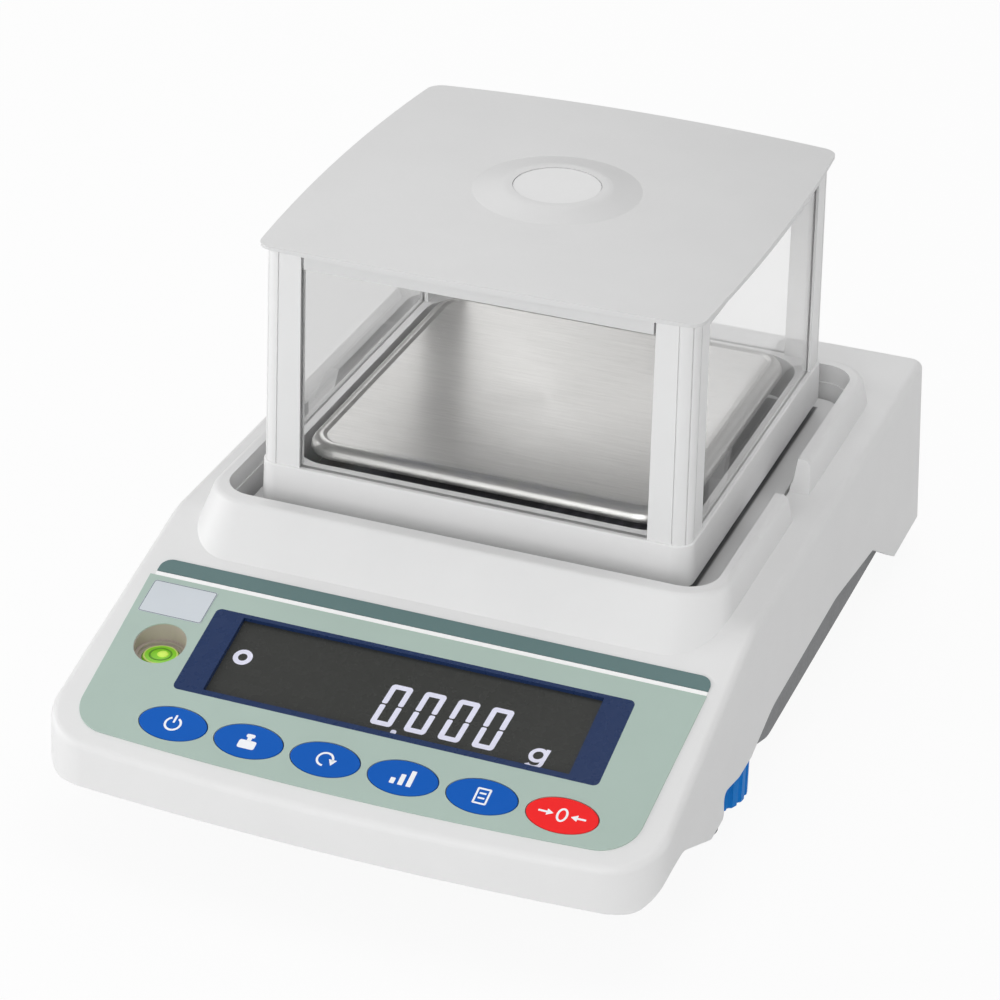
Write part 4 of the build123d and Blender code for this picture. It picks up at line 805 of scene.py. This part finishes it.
class BALANCE_OT_sockets(bpy.types.Operator):
    """Fills the rear sockets: insulator, pins, jack screws and contacts"""

    bl_idname = "balance.sockets"
    bl_label = "Sockets"

    def execute(self, context):
        gold = machined("contact_gold", paint(214, 176, 96))
        steel = machined("jack_steel", paint(190, 190, 194))
        black = moulded("insulator_black", paint(34, 34, 36))
        # insulator in the serial socket's shell, wider along its top
        drawing()
        bar(0, 0, 15.6, 7.0, 0)
        choose("verts", lambda vert: vert.co.y < 0)
        bpy.ops.transform.resize(value=(0.845, 1, 1), center_override=(0, 0, 0))
        bpy.ops.mesh.select_all(action="SELECT")
        bpy.ops.mesh.bevel(offset=1.4 * MM, segments=3, affect="VERTICES")
        thicken(0.1)
        place = self.rear_place(SERIAL_X, 157.7)
        complete(context.object, "serial_insulator", "base", black, place=place)
        drawing()
        for count, y in ((5, 1.42), (4, -1.42)):
            for i in range(count):
                self.pin((i - (count - 1) / 2) * 2.77, y, 0.5, 0.6)
        place = self.rear_place(SERIAL_X, 157.75)
        complete(context.object, "serial_pins", "base", gold, smooth=40, place=place)
        drawing()
        for side in (-1, 1):
            self.jack(side * 12.5)
        place = self.rear_place(SERIAL_X, 153.0)
        complete(context.object, "serial_jacks", "base", steel, smooth=30, place=place)
        drawing()
        self.pin(0, 0, 1.06, 8.9)
        place = self.rear_place(POWER_X, 146.2)
        complete(context.object, "power_pin", "base", steel, smooth=40, place=place)
        drawing()
        for side in (-1, 1):
            for x in (-1.25, 1.25):
                bar(x, side * 1.52, 1.0, 0.12, 0)
        thicken(6.0)
        place = self.rear_place(USB_X, 148.0)
        complete(context.object, "usb_contacts", "base", gold, place=place)
        return {"FINISHED"}

    @staticmethod
    def rear_place(x, y):
        """Matrix that turns a drawing to face the rear, at x across and y deep, in millimetres."""
        turned = Matrix(((-1, 0, 0, 0), (0, 0, 1, 0), (0, 1, 0, 0), (0, 0, 0, 1)))
        return Matrix.Translation(Vector((x, y, SOCKET_Z)) * MM) @ turned

    @staticmethod
    def pin(x, y, radius, height):
        """Adds a round pin with a rounded tip, in millimetres."""
        spot = (x * MM, y * MM, 0)
        bpy.ops.mesh.select_all(action="DESELECT")
        bpy.ops.mesh.primitive_circle_add(vertices=20, radius=radius * MM, fill_type="NGON", location=spot)
        shank = (height - radius * 0.5) * MM
        bpy.ops.mesh.extrude_region_move(TRANSFORM_OT_translate={"value": (0, 0, shank)})
        for share in (0.8, 0.45):
            bpy.ops.mesh.extrude_region_move(TRANSFORM_OT_translate={"value": (0, 0, radius * 0.25 * MM)})
            bpy.ops.transform.resize(value=(share, share, 1), center_override=(x * MM, y * MM, height * MM))
        bpy.ops.mesh.select_all(action="SELECT")
        bpy.ops.mesh.normals_make_consistent(inside=False)

    @staticmethod
    def jack(x):
        """Adds a six-sided jack screw with its threaded hole, in millimetres."""
        spot = (x * MM, 0, 0)
        bpy.ops.mesh.select_all(action="DESELECT")
        bpy.ops.mesh.primitive_circle_add(vertices=6, radius=2.7 * MM, fill_type="NGON", location=spot)
        bpy.ops.mesh.extrude_region_move(TRANSFORM_OT_translate={"value": (0, 0, 4.4 * MM)})
        bpy.ops.mesh.inset(thickness=0.25 * MM, depth=0.2 * MM)
        bpy.ops.mesh.inset(thickness=0.75 * MM, depth=0)
        bpy.ops.mesh.inset(thickness=0.0, depth=-3.0 * MM)
        bpy.ops.mesh.select_all(action="SELECT")
        bpy.ops.mesh.normals_make_consistent(inside=False)


# Operators: stage


class BALANCE_OT_stage(bpy.types.Operator):
    """Makes the floor, the lamps and the camera"""

    bl_idname = "balance.stage"
    bl_label = "Stage"

    def execute(self, context):
        scene = context.scene
        scene.view_settings.view_transform = "Standard"
        begin()
        bpy.ops.mesh.primitive_plane_add(size=FLOOR_SIDE, location=(0, 0, 0))
        floor = context.object
        floor.name = "floor"
        paper, tree, shader = new_finish("floor_paper")
        grey = tinted(tree, grain(tree, 30.0), (0.8, 0.8, 0.8), 0.01)
        give(tree, shader, Base_Color=grey, Roughness=0.9)
        glow = node(tree, "Emission", {"Color": (1, 1, 1, 1), "Strength": 1.0})
        rays = node(tree, "LightPath").outputs
        seen = rays["Is Camera Ray"]
        for kind in ("Is Glossy Ray", "Is Transmission Ray"):
            added = node(tree, "Math", {0: seen, 1: rays[kind]}, operation="ADD", use_clamp=True)
            seen = added.outputs[0]
        share = node(tree, "Math", {0: seen, 1: FLOOR_WHITE}, operation="MULTIPLY")
        mix = node(
            tree, "MixShader", {0: share.outputs[0], 1: shader.outputs["BSDF"], 2: glow.outputs["Emission"]}
        )
        tree.links.new(mix.outputs["Shader"], tree.nodes["Material Output"].inputs["Surface"])
        floor.data.materials.append(paper)
        self.sky(scene)
        self.lamps(scene)
        self.camera(scene)
        return {"FINISHED"}

    @staticmethod
    def sky(scene):
        """Soft light from all round, seen as white."""
        world = bpy.data.worlds.new("studio")
        scene.world = world
        world.use_nodes = True
        tree = world.node_tree
        rays = node(tree, "LightPath").outputs
        strength = node(
            tree,
            "MapRange",
            {"Value": rays["Is Camera Ray"], "From Min": 0.0, "From Max": 1.0, "To Min": SKY, "To Max": 1.0},
        )
        back = tree.nodes["Background"]
        back.inputs["Color"].default_value = (1, 1, 1, 1)
        tree.links.new(strength.outputs["Result"], back.inputs["Strength"])

    @staticmethod
    def lamps(scene):
        """Large soft boxes aimed at the middle of the balance."""
        for name, spot, size, power in LAMPS:
            data = bpy.data.lights.new(name, "AREA")
            data.shape = "SQUARE"
            data.size = size
            data.energy = power
            lamp = bpy.data.objects.new(name, data)
            scene.collection.objects.link(lamp)
            lamp.location = spot
            aim = Vector(LAMP_AIM) - Vector(spot)
            lamp.rotation_euler = aim.to_track_quat("-Z", "Y").to_euler()

    @staticmethod
    def camera(scene):
        """Camera at the photograph's viewing angle, from the fit of its edges."""
        back = Vector((sin(VIEW_TURN) * cos(VIEW_RISE), -cos(VIEW_TURN) * cos(VIEW_RISE), sin(VIEW_RISE)))
        right = (-back).cross(Vector((0, 0, 1))).normalized()
        up = right.cross(-back)
        turned = cos(VIEW_ROLL) * right + sin(VIEW_ROLL) * up
        raised = -sin(VIEW_ROLL) * right + cos(VIEW_ROLL) * up
        data = bpy.data.cameras.new("camera")
        data.sensor_width = SENSOR
        data.lens = VIEW_LENS
        data.clip_start = 0.01
        data.clip_end = 100.0
        camera = bpy.data.objects.new("camera", data)
        scene.collection.objects.link(camera)
        per_pixel = SENSOR / FRAME_PIXELS / VIEW_LENS
        aside = turned * VIEW_SHIFT[0] * per_pixel + raised * VIEW_SHIFT[1] * per_pixel
        spot = (back - aside) * VIEW_DISTANCE + VIEW_POINT
        camera.matrix_world = Matrix(
            [[turned[i], raised[i], back[i], spot[i]] for i in range(3)] + [[0, 0, 0, 1]]
        )
        scene.camera = camera


# Sidebar and registration


class BALANCE_PT_sidebar(bpy.types.Panel):
    """Sidebar panel of the balance"""

    bl_idname = "BALANCE_PT_sidebar"
    bl_label = "Balance"
    bl_space_type = "VIEW_3D"
    bl_region_type = "UI"
    bl_category = "Balance"

    def draw(self, context):
        for step in STEPS:
            self.layout.operator(step.bl_idname)


STEPS = (
    BALANCE_OT_finishes,
    BALANCE_OT_reading,
    BALANCE_OT_key_marks,
    BALANCE_OT_label_edge,
    BALANCE_OT_level,
    BALANCE_OT_sockets,
    BALANCE_OT_stage,
)
CLASSES = (BalanceColours, BalanceSizes) + STEPS + (BALANCE_PT_sidebar,)


def register():
    """Registers the classes and their settings."""
    for cls in CLASSES:
        bpy.utils.register_class(cls)
    bpy.types.Scene.balance_colours = bpy.props.PointerProperty(type=BalanceColours)
    bpy.types.Scene.balance_sizes = bpy.props.PointerProperty(type=BalanceSizes)


def unregister():
    """Removes what register adds."""
    del bpy.types.Scene.balance_sizes
    del bpy.types.Scene.balance_colours
    for cls in reversed(CLASSES):
        bpy.utils.unregister_class(cls)


def main():
    """Makes every piece in order."""
    register()
    bpy.ops.balance.finishes()
    bpy.ops.balance.reading()
    bpy.ops.balance.key_marks()
    bpy.ops.balance.label_edge()
    bpy.ops.balance.level()
    bpy.ops.balance.sockets()
    bpy.ops.balance.stage()


if __name__ == "__main__":
    main()
